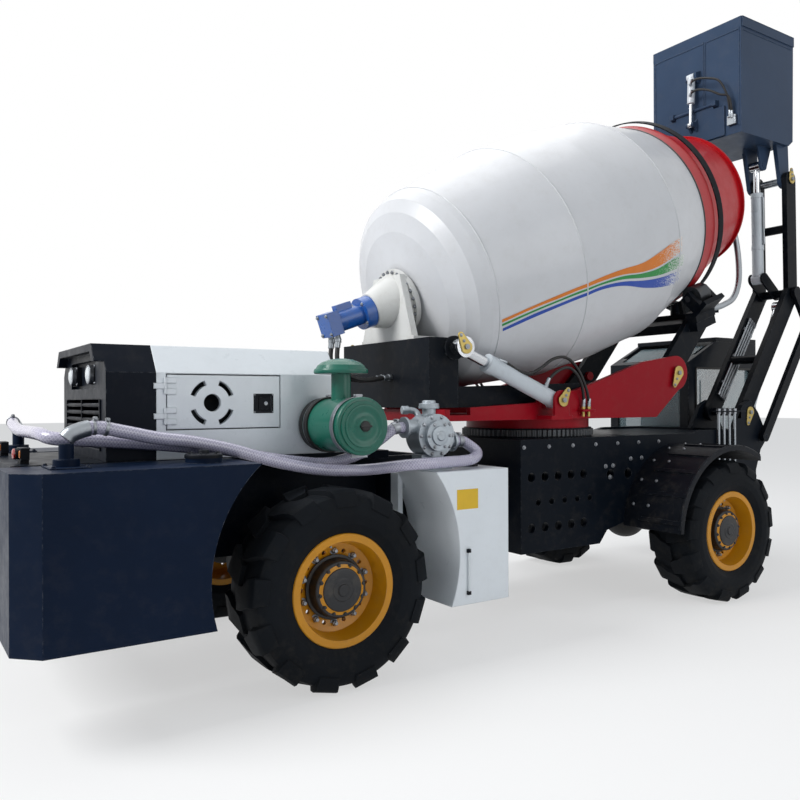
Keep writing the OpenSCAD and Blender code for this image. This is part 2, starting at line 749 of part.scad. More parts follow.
module discharge_chute() color("#1d2025") {
  difference() {
    union() {
      zcyl(chute_x, 0, 2346.3, 2440, 60);
      intersection() {
        plate_xy([[4090, -130], [4460, -200], [4460, 200], [4090, 130]], 2300, 2700);
        union() {
          plate_xz([[4000, 2430], [4500, 2350], [4500, 2366], [4000, 2446]], -300, 300);
        }
      }
      both() intersection() {
        plate_xz([[4090, 2416], [4460, 2357], [4460, 2490], [4090, 2500]], 100, 230);
        plate_xy([[4090, 115], [4460, 185], [4460, 200], [4090, 130]], 2300, 2700);
      }
    }
    zcyl(chute_x, 0, 2330, 2700, 34 + run);
  }
}

// boom and bucket

module arm(y0, y1) {
  difference() {
    union() {
      bar(pin_a, pin_k, arm_lo, y0, y1);
      bar(pin_k, pin_t, arm_up, y0, y1);
    }
    ycyl(pin_a, y0 - 5, y1 + 5, 35 + run);
    ycyl(pin_k, y0 - 5, y1 + 5, 40 + run);
    ycyl(pin_t, y0 - 5, y1 + 5, 35 + run);
  }
}

module boom_arms() color("#171a1f") {
  arm(arm_r0, arm_r1);
  arm(arm_l0, arm_l1);
  ycyl([5185, 3180], arm_r1, arm_l0, 40);
  ycyl(along(pin_a, pin_k, 560) + [-30, 20], arm_r1, arm_l0, 40);
  ycyl(pin_d, arm_r1, lift_y - 32, 26);
}

module lift_barrel() color("#dfe3e6") {
  difference() {
    union() {
      ycyl(pin_c, lift_y - 28, lift_y + 28, 55);
      rod(pin_c, along(pin_c, pin_d, 800), lift_y, 48);
    }
    ycyl(pin_c, lift_y - 60, lift_y + 60, 26 + run);
    rod(along(pin_c, pin_d, 150), along(pin_c, pin_d, 900), lift_y, 29 + run);
  }
}

module lift_rod() color("#c9ccd0") {
  rod(along(pin_c, pin_d, 765), pin_d, lift_y, 29);
  ycyl(pin_d, lift_y - 27, lift_y + 27, 50);
  ycyl(pin_d, lift_y - 27, lift_y + 40, 26);
}

module level_link() color("#15181c") {
  difference() {
    bar(pin_a + lvl, pin_k + lvl, 45, -606, -566);
    ycyl(pin_a + lvl, -620, -550, 22 + run);
    ycyl(pin_k + lvl, -620, -550, 22 + run);
  }
}

module bellcrank() color("#171a1f") {
  ycyl(pin_k, -550, arm_l1, 40);
  bar(pin_k, pin_k + lvl, 55, -550, -510);
  ycyl(pin_k + lvl, -606, -510, 22);
  bar(pin_k, pin_k + crk, 55, crk_y - 72, crk_y - 55.5);
  bar(pin_k, pin_k + crk, 55, crk_y + 55.5, crk_y + 72);
  ycyl(pin_k + crk, crk_y - 72, crk_y + 72, 26);
}

module bucket_pin() color("#8b8f94") {
  ycyl(pin_t, -505, -80, 35);
}

bk_x0 = 4400;
bk_bot = 3950;
bk_top = bk_bot + bucket_h;
gate_u = [4345, 4585];
gate_h = [4376, 4272];
gate_p = [4330, 4130];

module bucket_pts(g) {
  polygon([[bk_x0 + g, bk_top + (g > 0 ? 5 : 0)], [5230 - g, bk_top + (g > 0 ? 5 : 0)],
      [5215 - g, 4000 + g * 0.5],
    [5150 - g * 0.3, bk_bot + g], [bk_x0 + g, bk_bot + g]]);
}

module bucket() color("#3a4657") {
  difference() {
    union() {
      translate([0, bucket_hw, 0]) rotate([90, 0, 0]) linear_extrude(2 * bucket_hw) bucket_pts(0);
      both() box(bk_x0 + 10, 5228, bucket_hw - 1, bucket_hw + 10, bk_top - 90, bk_top);
    }
    translate([0, bucket_hw - bucket_t, 0]) rotate([90, 0, 0]) linear_extrude(2 * (bucket_hw - bucket_t))
      bucket_pts(bucket_t);
    box(bk_x0 - 5, bk_x0 + bucket_t + 5, -300, 300, bk_bot + 40, 4240);
  }
  for (y = [[-440, -400], [-125, -85]]) difference() {
    plate_xz([[5010, bk_bot], [5080, pin_t[1]], [5220, pin_t[1]], [5200, bk_bot + 40], [5150, bk_bot]],
        y[0], y[1]);
    ycyl(pin_t, y[0] - 5, y[1] + 5, 35 + run);
  }
  for (y = [[-440, -400], [-125, -85]]) difference() {
    ycyl(pin_t, y[0], y[1], 70);
    ycyl(pin_t, y[0] - 5, y[1] + 5, 35 + run);
  }
  for (y = [crk_y - 75, crk_y + 55.5]) {
    plate_xz([[4860, bk_bot], [4912, pin_t[1] + crk[1] - 10], [5008, pin_t[1] + crk[1] - 10],
        [5080, bk_bot]], y, y + 19.5);
    ycyl(pin_t + crk, y, y + 19.5, 50);
  }
  ycyl(pin_t + crk, crk_y - 83, crk_y - 75, 26);
  for (y = [-60, 40]) plate_xz([[4330, 4560], [bk_x0, 4520], [bk_x0, 4640], [4330, 4610]], y, y + 20);
  ycyl(gate_u, -60, 60, 14);
  for (y = [-250, 210]) difference() {
    plate_xz([[4350, 4250], [bk_x0, 4240], [bk_x0, 4300], [4350, 4294]], y, y + 40);
    ycyl(gate_h, y - 5, y + 45, 14 + run);
  }
}

module bucket_gate() color("#3a4657") {
  box(bk_x0 - 16, bk_x0 - 4, -320, 320, bk_bot + 10, 4232);
  ycyl(gate_h, -250, 250, 14);
  box(bk_x0 - 16, bk_x0 - 8, -205, 205, 4226, 4270);
  for (y = [-40, 20]) plate_xz([[4325, 4130], [bk_x0 - 10, 4060], [bk_x0 - 10, 4200]], y, y + 20);
  for (y = [-40, 20]) ycyl(gate_p, y, y + 20, 24);
}

module bucket_barrel() color("#e3e6e8") {
  p = pin_k + crk;
  q = pin_t + crk;
  difference() {
    union() {
      ycyl(p, crk_y - 48, crk_y + 48, 50);
      rod(along(p, q, 30), along(p, q, 820), crk_y, 50);
    }
    ycyl(p, crk_y - 60, crk_y + 60, 26 + run);
    rod(along(p, q, 150), along(p, q, 860), crk_y, 29 + run);
  }
}

module bucket_rod() color("#c9ccd0") {
  p = pin_k + crk;
  q = pin_t + crk;
  rod(along(p, q, 500), q, crk_y, 29);
  ycyl(q, crk_y - 48, crk_y + 48, 48);
}

module gate_barrel() color("#e3e6e8") {
  difference() {
    union() {
      ycyl(gate_u, -36, 36, 30);
      rod(gate_u, along(gate_u, gate_p, 250), 0, 34);
    }
    ycyl(gate_u, -60, 60, 14 + run);
    rod(along(gate_u, gate_p, 90), along(gate_u, gate_p, 300), 0, 16 + run);
  }
}

module gate_rod() color("#c9ccd0") {
  rod(along(gate_u, gate_p, 170), gate_p, 0, 16);
  ycyl(gate_p, -17, 17, 24);
}

module draw() {
  rear_frame();
  rear_axle();
  engine();
  hood();
  rear_cowl();
  work_lamps();
  right_water_tank();
  left_water_tank();
  fuel_tank();
  hydraulic_tank();
  air_cleaner();
  water_pump();
  water_hose_right();
  water_hose_left();
  rear_lamps();
  hood_door_right();
  hood_door_left();
  tyre_rear_right();
  tyre_rear_left();
  tyre_front_right();
  tyre_front_left();
  rim_rear_right();
  rim_rear_left();
  rim_front_right();
  rim_front_left();
  front_frame();
  front_axle();
  front_mudguards();
  cab_frame();
  cab_roof();
  cab_glass();
  cab_door();
  cab_door_glass();
  cab_seat();
  cab_console();
  slew_bed();
  tilt_barrels();
  tilt_rods();
  drum_cradle();
  drum_gearbox();
  drum_motor();
  roller_right();
  roller_left();
  discharge_chute();
  drum_shell();
  drum_mouth();
  boom_arms();
  lift_barrel();
  lift_rod();
  level_link();
  bellcrank();
  bucket_pin();
  bucket();
  bucket_barrel();
  bucket_rod();
  bucket_gate();
  gate_barrel();
  gate_rod();
}

translate([-x_mid, 0, 0]) draw();
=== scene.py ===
import math

import bmesh
import bpy
from mathutils import Matrix, Vector


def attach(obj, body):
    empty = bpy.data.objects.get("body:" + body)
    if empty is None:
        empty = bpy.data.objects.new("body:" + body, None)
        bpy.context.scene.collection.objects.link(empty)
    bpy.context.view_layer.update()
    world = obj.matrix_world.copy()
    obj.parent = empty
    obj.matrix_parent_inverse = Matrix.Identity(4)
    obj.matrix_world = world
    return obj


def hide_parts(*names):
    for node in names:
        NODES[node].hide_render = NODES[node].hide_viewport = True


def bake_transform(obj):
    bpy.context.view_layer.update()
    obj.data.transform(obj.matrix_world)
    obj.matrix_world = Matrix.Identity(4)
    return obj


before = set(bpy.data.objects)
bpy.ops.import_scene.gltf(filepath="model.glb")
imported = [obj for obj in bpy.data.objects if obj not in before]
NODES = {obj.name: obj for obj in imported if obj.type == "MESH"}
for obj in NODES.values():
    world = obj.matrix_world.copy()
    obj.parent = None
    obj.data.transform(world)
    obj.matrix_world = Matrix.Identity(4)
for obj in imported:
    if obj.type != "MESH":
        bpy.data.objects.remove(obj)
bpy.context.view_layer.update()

X_MID = 1900.0


def V(x, y, z):
    """A point given in millimetres from the ground under the rear axle, in the row frame."""
    return Vector(((x - X_MID) / 1000.0, y / 1000.0, z / 1000.0))


UP, RIGHT, BACK = Vector((0, 0, 1)), Vector((0, -1, 0)), Vector((-1, 0, 0))
WHEELBASE, TRACK, AXLE_Z = 3390, 873, 540
TILT_LO, TILT_HI, EAR = (1950, 1548), (1100, 1894), (3400, 1768)
PIN_A, PIN_C, PIN_K, PIN_T = (4400, 1435), (4430, 1044), (5170, 2556), (5150, 3630)
SLEW_X = 2250
DRUM_C = V(2260, 0, 2690)
DRUM_A = math.radians(19.41)
DRUM_X = Vector((math.cos(DRUM_A), 0, math.sin(DRUM_A)))


# Camera and light

def make_camera():
    forward = Vector((0.5498, 0.8354, 0.0016)).normalized()
    flat = forward.cross(UP).normalized()
    rise = flat.cross(forward)
    roll = math.radians(-0.23)
    right = math.cos(roll) * flat + math.sin(roll) * rise
    up = -math.sin(roll) * flat + math.cos(roll) * rise
    data = bpy.data.cameras.new("photo_camera")
    data.lens = 35.65
    data.sensor_width = 36.0
    data.clip_end = 200.0
    cam = bpy.data.objects.new("photo_camera", data)
    turn = Matrix((right, up, -forward)).transposed().to_4x4()
    cam.matrix_world = Matrix.Translation((-3.963, -4.718, 1.544)) @ turn
    bpy.context.scene.collection.objects.link(cam)
    bpy.context.scene.camera = cam


def area_light(name, place, target, size, power):
    data = bpy.data.lights.new(name, "AREA")
    data.shape = "SQUARE"
    data.size = size
    data.energy = power
    lamp = bpy.data.objects.new(name, data)
    aim = Vector(target) - Vector(place)
    lamp.matrix_world = Matrix.Translation(place) @ aim.to_track_quat("-Z", "Y").to_matrix().to_4x4()
    bpy.context.scene.collection.objects.link(lamp)


def add_node(tree, kind, **values):
    """A shader node with some of its inputs set."""
    node = tree.nodes.new("ShaderNode" + kind)
    for key, value in values.items():
        node.inputs[key].default_value = value
    return node


def seen_rays(tree):
    """One where a ray comes straight from the camera, off a glossy face or through glass."""
    path = add_node(tree, "LightPath")
    value = path.outputs["Is Camera Ray"]
    for name in ("Is Glossy Ray", "Is Transmission Ray"):
        both = add_node(tree, "Math")
        both.operation = "MAXIMUM"
        tree.links.new(value, both.inputs[0])
        tree.links.new(path.outputs[name], both.inputs[1])
        value = both.outputs[0]
    return value


def two_way(tree, share, first, second, out):
    """Shows the second shader by its share, and the first one for the rest."""
    mix = add_node(tree, "MixShader")
    for i, source in enumerate((share, first.outputs[0], second.outputs[0])):
        tree.links.new(source, mix.inputs[i])
    tree.links.new(mix.outputs[0], out.inputs[0])


def empty_tree(owner):
    owner.use_nodes = True
    owner.node_tree.nodes.clear()
    return owner.node_tree


def make_world():
    world = bpy.data.worlds.new("studio")
    bpy.context.scene.world = world
    tree = empty_tree(world)
    soft = add_node(tree, "Background", Color=(0.84, 0.92, 1.0, 1), Strength=0.36)
    white = add_node(tree, "Background", Color=(1, 1, 1, 1), Strength=1.0)
    two_way(tree, seen_rays(tree), soft, white, add_node(tree, "OutputWorld"))


def make_floor():
    half = 60
    mesh = bpy.data.meshes.new("studio_floor")
    mesh.from_pydata([(-half, -half, 0), (half, -half, 0), (half, half, 0), (-half, half, 0)], [], [(0, 1, 2, 3)])
    floor = bpy.data.objects.new("studio_floor", mesh)
    bpy.context.scene.collection.objects.link(floor)
    mat = bpy.data.materials.new("floor_pale")
    tree = empty_tree(mat)
    matte = add_node(tree, "BsdfDiffuse", Color=(0.86, 0.86, 0.86, 1))
    glow = add_node(tree, "Emission", Color=(1, 1, 1, 1))
    part = add_node(tree, "Math")
    part.operation = "MULTIPLY"
    part.inputs[1].default_value = 0.55
    tree.links.new(seen_rays(tree), part.inputs[0])
    two_way(tree, part.outputs[0], matte, glow, add_node(tree, "OutputMaterial"))
    mesh.materials.append(mat)


bpy.context.scene.view_settings.view_transform = "Standard"
make_camera()
make_world()
make_floor()
area_light("key", (-9.5, 1.0, 8.0), (0, 0, 1.8), 5.0, 980)
area_light("fill", (2.5, -9.5, 4.5), (0.5, 0, 1.6), 6.0, 190)
area_light("top", (1.0, 3.0, 10.5), (0, 0, 1.6), 8.0, 380)


# Materials

def lin(code):
    out = []
    for i in (1, 3, 5):
        c = int(code[i:i + 2], 16) / 255.0
        out.append(c / 12.92 if c <= 0.04045 else ((c + 0.055) / 1.055) ** 2.4)
    return out


def shade(code, k):
    return [min(1.0, c * k) for c in lin(code)] + [1.0]


class Look:
    """A node material being put together, one node and link at a time."""

    def __init__(self, name):
        self.mat = bpy.data.materials.new(name)
        self.mat.use_nodes = True
        self.tree = self.mat.node_tree
        self.bsdf = self.tree.nodes["Principled BSDF"]
        self.coords = self.new("TexCoord")

    def new(self, kind, **values):
        return add_node(self.tree, kind, **values)

    def link(self, a, b):
        """Joins an output to an input, or sets the input to a plain value."""
        if isinstance(a, bpy.types.NodeSocket):
            self.tree.links.new(a, b)
        else:
            b.default_value = a

    def dot(self, a, b):
        n = self.new("VectorMath")
        n.operation = "DOT_PRODUCT"
        self.link(a, n.inputs[0])
        self.link(b, n.inputs[1])
        return n.outputs["Value"]

    def feed(self, **sources):
        for key, source in sources.items():
            self.link(source, self.bsdf.inputs[key.replace("_", " ")])

    def noise(self, scale, detail=5.0, rough=0.6, source="Object"):
        n = self.new("TexNoise", Scale=scale, Detail=detail, Roughness=rough)
        self.link(self.coords.outputs[source], n.inputs["Vector"])
        return n.outputs["Fac"]

    def ramp(self, value, a, b, c=0.0, d=1.0):
        n = self.new("MapRange")
        for i, x in enumerate((value, a, b, c, d)):
            self.link(x, n.inputs[i])
        return n.outputs[0]

    def math(self, op, a, b):
        n = self.new("Math")
        n.operation = op
        self.link(a, n.inputs[0])
        self.link(b, n.inputs[1])
        return n.outputs[0]

    def mix(self, fac, a, b):
        n = self.new("Mix")
        n.data_type = "RGBA"
        for i, x in ((0, fac), (6, a), (7, b)):
            self.link(x, n.inputs[i])
        return n.outputs[2]

    def axis(self, source, which):
        n = self.new("SeparateXYZ")
        self.link(self.coords.outputs[source], n.inputs[0])
        return n.outputs[which]

    def along_drum(self):
        return self.math("SUBTRACT", self.dot(self.coords.outputs["Object"], DRUM_X), DRUM_C.dot(DRUM_X))

    def bump(self, height, strength, distance, edge):
        b = self.new("Bump", Strength=strength, Distance=distance)
        self.link(height, b.inputs["Height"])
        if edge is not None:
            self.link(edge, b.inputs["Normal"])
        self.feed(Normal=b.outputs[0])

    def rounded(self, radius):
        n = self.new("Bevel", Radius=radius)
        n.samples = 4
        return n.outputs[0]

    def edge_mask(self, normal):
        flat = self.new("NewGeometry").outputs["Normal"]
        return self.ramp(self.dot(normal, flat), 0.995, 0.86)


def surface(name, color, rough=0.45, metal=0.0, spec=0.5, coat=0.0, mottle=0.10, size=1.6, grain=140.0, bump=0.10,
            wear=0.35, wear_color="#8d9196", dirt=0.22, dirt_color="#6f675c", low=None, edge=0.004, bands=None):
    look = Look(name)
    look.feed(Metallic=metal, Specular_IOR_Level=spec, Coat_Weight=coat)
    broad = look.noise(size, 6.0)
    speck = look.noise(11.0, 8.0, 0.7)
    tone = look.mix(look.ramp(broad, 0.35, 0.68), shade(color, 1 - mottle), shade(color, 1 + 0.6 * mottle))
    for start, code in bands or []:
        past = look.math("GREATER_THAN", look.along_drum(), start)
        tone = look.mix(past, tone, look.mix(look.ramp(broad, 0.35, 0.68), shade(code, 1 - mottle),
                                             shade(code, 1.05)))
    stain = look.ramp(speck, 0.50, 0.78, 0.0, dirt)
    if low is not None:
        height = look.ramp(look.axis("Object", 2), low[0], low[1], 1.0, 0.25)
        stain = look.math("MULTIPLY", stain, height)
    tone = look.mix(stain, tone, shade(dirt_color, 1.0))
    soft = look.rounded(edge)
    rub = look.math("MULTIPLY", look.edge_mask(soft), look.ramp(look.noise(34.0, 5.0), 0.48, 0.62, 0.0, wear))
    tone = look.mix(rub, tone, shade(wear_color, 1.0))
    sheen = look.ramp(speck, 0.3, 0.75, max(0.05, rough - 0.07), min(1.0, rough + 0.12))
    look.feed(Base_Color=tone, Roughness=sheen)
    look.bump(look.noise(grain, 3.0), bump, 0.002, soft)
    return look.mat


def glass_look(name, color):
    look = Look(name)
    look.feed(Alpha=0.34, Specular_IOR_Level=0.8)
    smear = look.noise(5.0, 6.0)
    look.feed(Base_Color=look.mix(smear, shade(color, 0.8), shade(color, 1.15)),
              Roughness=look.ramp(smear, 0.35, 0.7, 0.03, 0.16))
    return look.mat


def lens_look(name, color):
    look = Look(name)
    look.feed(Specular_IOR_Level=0.9, Coat_Weight=0.6)
    wave = look.new("TexWave", Scale=55.0)
    wave.bands_direction = "Y"
    look.link(look.coords.outputs["Object"], wave.inputs["Vector"])
    look.feed(Base_Color=look.mix(wave.outputs["Fac"], shade(color, 0.72), shade(color, 1.1)),
              Roughness=look.ramp(look.noise(30.0), 0.3, 0.7, 0.06, 0.16))
    look.bump(wave.outputs["Fac"], 0.35, 0.002, None)
    return look.mat


def hose_look(name, color, thread, line):
    """Clear reinforced water hose: crossing threads under a glossy skin, with one dark lengthwise line."""
    look = Look(name)
    look.feed(Specular_IOR_Level=0.6, Coat_Weight=0.5, Coat_Roughness=0.12)
    along = look.axis("UV", 0)
    around = look.axis("UV", 1)
    crossed = None
    for way in (1.0, -1.0):
        lean = look.math("ADD", look.math("MULTIPLY", along, 62.0), look.math("MULTIPLY", around, way * 9.0))
        ridge = look.math("ABSOLUTE", look.math("SUBTRACT", look.math("FRACT", lean, 0.0), 0.5), 0.0)
        stripe = look.ramp(ridge, 0.10, 0.20, 1.0, 0.0)
        crossed = stripe if crossed is None else look.math("MAXIMUM", crossed, stripe)
    tone = look.mix(look.noise(3.0), shade(color, 0.86), shade(color, 1.12))
    tone = look.mix(look.math("MULTIPLY", crossed, 0.75), tone, shade(thread, 1.0))
    mark = look.ramp(look.math("ABSOLUTE", look.math("SUBTRACT", around, 0.28), 0.0), 0.012, 0.03, 0.85, 0.0)
    look.feed(Base_Color=look.mix(mark, tone, shade(line, 1.0)),
              Roughness=look.ramp(look.noise(24.0), 0.3, 0.7, 0.18, 0.34))
    look.bump(crossed, 0.25, 0.0012, None)
    return look.mat


def stripe_look(name, color):
    """Sprayed stripe that breaks up into specks of bare drum towards its wide end."""
    look = Look(name)
    look.feed(Specular_IOR_Level=0.45)
    along = look.axis("UV", 0)
    specks = look.noise(150.0, 2.0, 0.5)
    limit = look.ramp(along, 0.50, 1.0, 0.20, 0.60)
    bare = look.math("LESS_THAN", specks, limit)
    tone = look.mix(look.noise(6.0), shade(color, 0.85), shade(color, 1.12))
    look.feed(Base_Color=look.mix(bare, tone, shade("#d9dad8", 1.0)),
              Roughness=look.ramp(look.noise(20.0), 0.3, 0.7, 0.34, 0.48))
    return look.mat


M = {
    # The drum's first band, dark from 1.195 to 1.207 along the drum, is painted shade of the step where the ring
    # meets the shell. The red band after it is the ring's paint.
    "drum": surface("drum_paint", "#d0d1d4", 0.36, mottle=0.05, dirt=0.12, dirt_color="#a39c8d", wear=0.1,
                    coat=0.15, edge=0.006, bands=[(1.195, "#17191c"), (1.207, "#b00d19")]),
    "mouth": surface("mouth_paint", "#b50d19", 0.34, spec=0.12, mottle=0.14, dirt=0.14, dirt_color="#6d6257",
                     coat=0.04),
    "bed": surface("bed_paint", "#9b0b1d", 0.34, spec=0.10, mottle=0.10, dirt=0.10, wear=0.25, coat=0.05,
                   edge=0.006),
    "chassis": surface("chassis_paint", "#0c131c", 0.40, spec=0.07, mottle=0.18, dirt=0.12, low=(0.4, 1.5),
                       edge=0.006),
    "axle": surface("axle_cast", "#101114", 0.55, spec=0.4, mottle=0.2, dirt=0.35, bump=0.3, low=(0.2, 1.2)),
    "cradle": surface("cradle_paint", "#0e131a", 0.38, spec=0.07, mottle=0.16, dirt=0.12, edge=0.006),
    "boom": surface("boom_paint", "#0c1118", 0.38, spec=0.08, mottle=0.16, dirt=0.12, edge=0.006),
    "hood": surface("hood_paint", "#e6ebef", 0.30, mottle=0.04, dirt=0.06, wear=0.1, coat=0.3, edge=0.010),
    "cowl": surface("cowl_paint", "#0d131d", 0.36, spec=0.07, mottle=0.14, dirt=0.05, coat=0.0, edge=0.010),
    "tank": surface("tank_paint", "#0d1b30", 0.38, spec=0.07, mottle=0.12, dirt=0.08, low=(0.3, 1.3), edge=0.008),
    "fuel": surface("fuel_paint", "#e6ebef", 0.32, mottle=0.04, dirt=0.09, low=(0.3, 1.2), wear=0.12, edge=0.010),
    "green": surface("green_paint", "#176453", 0.30, spec=0.3, mottle=0.12, dirt=0.12, coat=0.15),
    "blue": surface("blue_paint", "#1858a8", 0.30, mottle=0.16, dirt=0.30, coat=0.2),
    "gear": surface("gearbox_paint", "#d3d3d0", 0.40, mottle=0.08, dirt=0.25, dirt_color="#8b7f6c", bump=0.25,
                    edge=0.006),
    "cast": surface("pump_casting", "#9ba3aa", 0.42, metal=0.75, mottle=0.16, dirt=0.30, bump=0.45, grain=220.0),
    "chrome": surface("rod_chrome", "#c9ccd0", 0.14, metal=1.0, mottle=0.05, dirt=0.10, bump=0.02, wear=0.0),
    "steel": surface("pipe_steel", "#9aa0a6", 0.30, metal=0.9, mottle=0.14, dirt=0.25, wear=0.1),
    "zinc": surface("zinc_plate", "#b9a35e", 0.34, metal=0.8, mottle=0.25, size=9.0, dirt=0.2),
    "bolt": surface("bolt_zinc", "#8e9298", 0.36, metal=0.85, mottle=0.2, size=8.0, dirt=0.35),
    "rim": surface("rim_paint", "#d08d12", 0.38, spec=0.3, mottle=0.10, dirt=0.20, low=(0.1, 1.2), coat=0.15,
                   edge=0.005),
    "hub": surface("hub_paint", "#1a1c20", 0.42, spec=0.4, mottle=0.2, dirt=0.30, edge=0.003),
    "rubber": surface("tyre_rubber", "#0e1217", 0.66, spec=0.10, mottle=0.22, size=3.0, grain=90.0, bump=0.22,
                      dirt=0.30, dirt_color="#4e4a44", low=(0.0, 1.0), wear=0.25, wear_color="#3b3a38"),
    "hose": surface("hydraulic_rubber", "#0d0e10", 0.5, spec=0.4, grain=400.0, bump=0.2, dirt=0.2, wear=0.0),
    "plastic": surface("black_plastic", "#0f131a", 0.44, spec=0.12, grain=300.0, bump=0.2, dirt=0.25,
                       low=(0.4, 1.4)),
    "console": surface("grey_plastic", "#4c5157", 0.55, grain=320.0, bump=0.3, dirt=0.12),
    "cab": surface("cab_paint", "#10161f", 0.34, spec=0.12, mottle=0.12, dirt=0.08, coat=0.03, edge=0.012),
    "engine": surface("engine_iron", "#3a3e43", 0.6, metal=0.3, mottle=0.25, dirt=0.4, bump=0.5, grain=180.0),
    "white": surface("cylinder_paint", "#cfd6dc", 0.32, mottle=0.06, dirt=0.16, coat=0.15),
    "bucket": surface("bucket_paint", "#34465f", 0.36, spec=0.12, mottle=0.12, dirt=0.10, coat=0.0, edge=0.006),
    "roller": surface("roller_steel", "#45484c", 0.38, metal=0.7, mottle=0.2, dirt=0.35),
    "yellow": surface("plate_yellow", "#e0b51c", 0.4, mottle=0.06, dirt=0.08, wear=0.2, edge=0.001),
    "pale": surface("pale_plate", "#dde2e5", 0.4, mottle=0.05, dirt=0.1),
    "vinyl": surface("seat_vinyl", "#1c1d20", 0.58, spec=0.4, mottle=0.14, size=6.0, grain=260.0, bump=0.5,
                     dirt=0.1, wear=0.15, wear_color="#3a3b3d"),
    "glass": glass_look("cab_glazing", "#8aa3ab"),
    "lens": lens_look("lamp_lens", "#dfe5e8"),
    "red_lens": lens_look("tail_lens", "#a3150f"),
    "amber_lens": lens_look("turn_lens", "#d97812"),
    "pvc": hose_look("water_hose", "#9d98b0", "#c7c4d4", "#3d3852"),
    "orange": stripe_look("stripe_orange", "#d9791c"),
    "leaf": stripe_look("stripe_green", "#1d8a3c"),
    "royal": stripe_look("stripe_blue", "#1746a8"),
}

NODE_LOOK = {
    "chassis": "rear_frame front_frame discharge_chute",
    "axle": "rear_axle front_axle",
    "engine": "engine",
    "hood": "hood hood_door_right hood_door_left",
    "cowl": "rear_cowl",
    "cast": "water_pump",
    "plastic": "work_lamps rear_lamps front_mudguards",
    "tank": "right_water_tank left_water_tank hydraulic_tank",
    "fuel": "fuel_tank",
    "green": "air_cleaner",
    "pvc": "water_hose_right water_hose_left",
    "rubber": "tyre_rear_right tyre_rear_left tyre_front_right tyre_front_left",
    "rim": "rim_rear_right rim_rear_left rim_front_right rim_front_left",
    "cab": "cab_frame cab_roof cab_door",
    "glass": "cab_glass cab_door_glass",
    "vinyl": "cab_seat",
    "console": "cab_console",
    "bed": "slew_bed",
    "white": "tilt_barrels lift_barrel bucket_barrel gate_barrel",
    "chrome": "tilt_rods lift_rod bucket_rod gate_rod",
    "cradle": "drum_cradle",
    "gear": "drum_gearbox",
    "blue": "drum_motor",
    "roller": "roller_right roller_left",
    "drum": "drum_shell",
    "mouth": "drum_mouth",
    "boom": "boom_arms level_link bellcrank",
    "steel": "bucket_pin",
    "bucket": "bucket bucket_gate",
}
for look_name, node_names in NODE_LOOK.items():
    for node_name in node_names.split():
        slots = NODES[node_name].data.materials
        slots.clear()
        slots.append(M[look_name])


# Mesh building

def basis(d):
    d = d.normalized()
    help_axis = UP if abs(d.z) < 0.9 else Vector((1, 0, 0))
    u = d.cross(help_axis).normalized()
    return d, u, d.cross(u)


def circle(count, first=0.0):
    """Cosine and sine of evenly spaced angles, the first one in degrees."""
    for k in range(count):
        a = math.radians(first + 360.0 / count * k)
        yield math.cos(a), math.sin(a)


def bar_faces(n):
    """Faces of a bar with n four-sided sections, closed at both ends."""
    faces = [(0, 1, 2, 3), tuple(4 * (n - 1) + i for i in (3, 2, 1, 0))]
    for i in range(0, 4 * n - 4, 4):
        faces += [(i + j, i + (j + 1) % 4, i + 4 + (j + 1) % 4, i + 4 + j) for j in range(4)]
    return faces


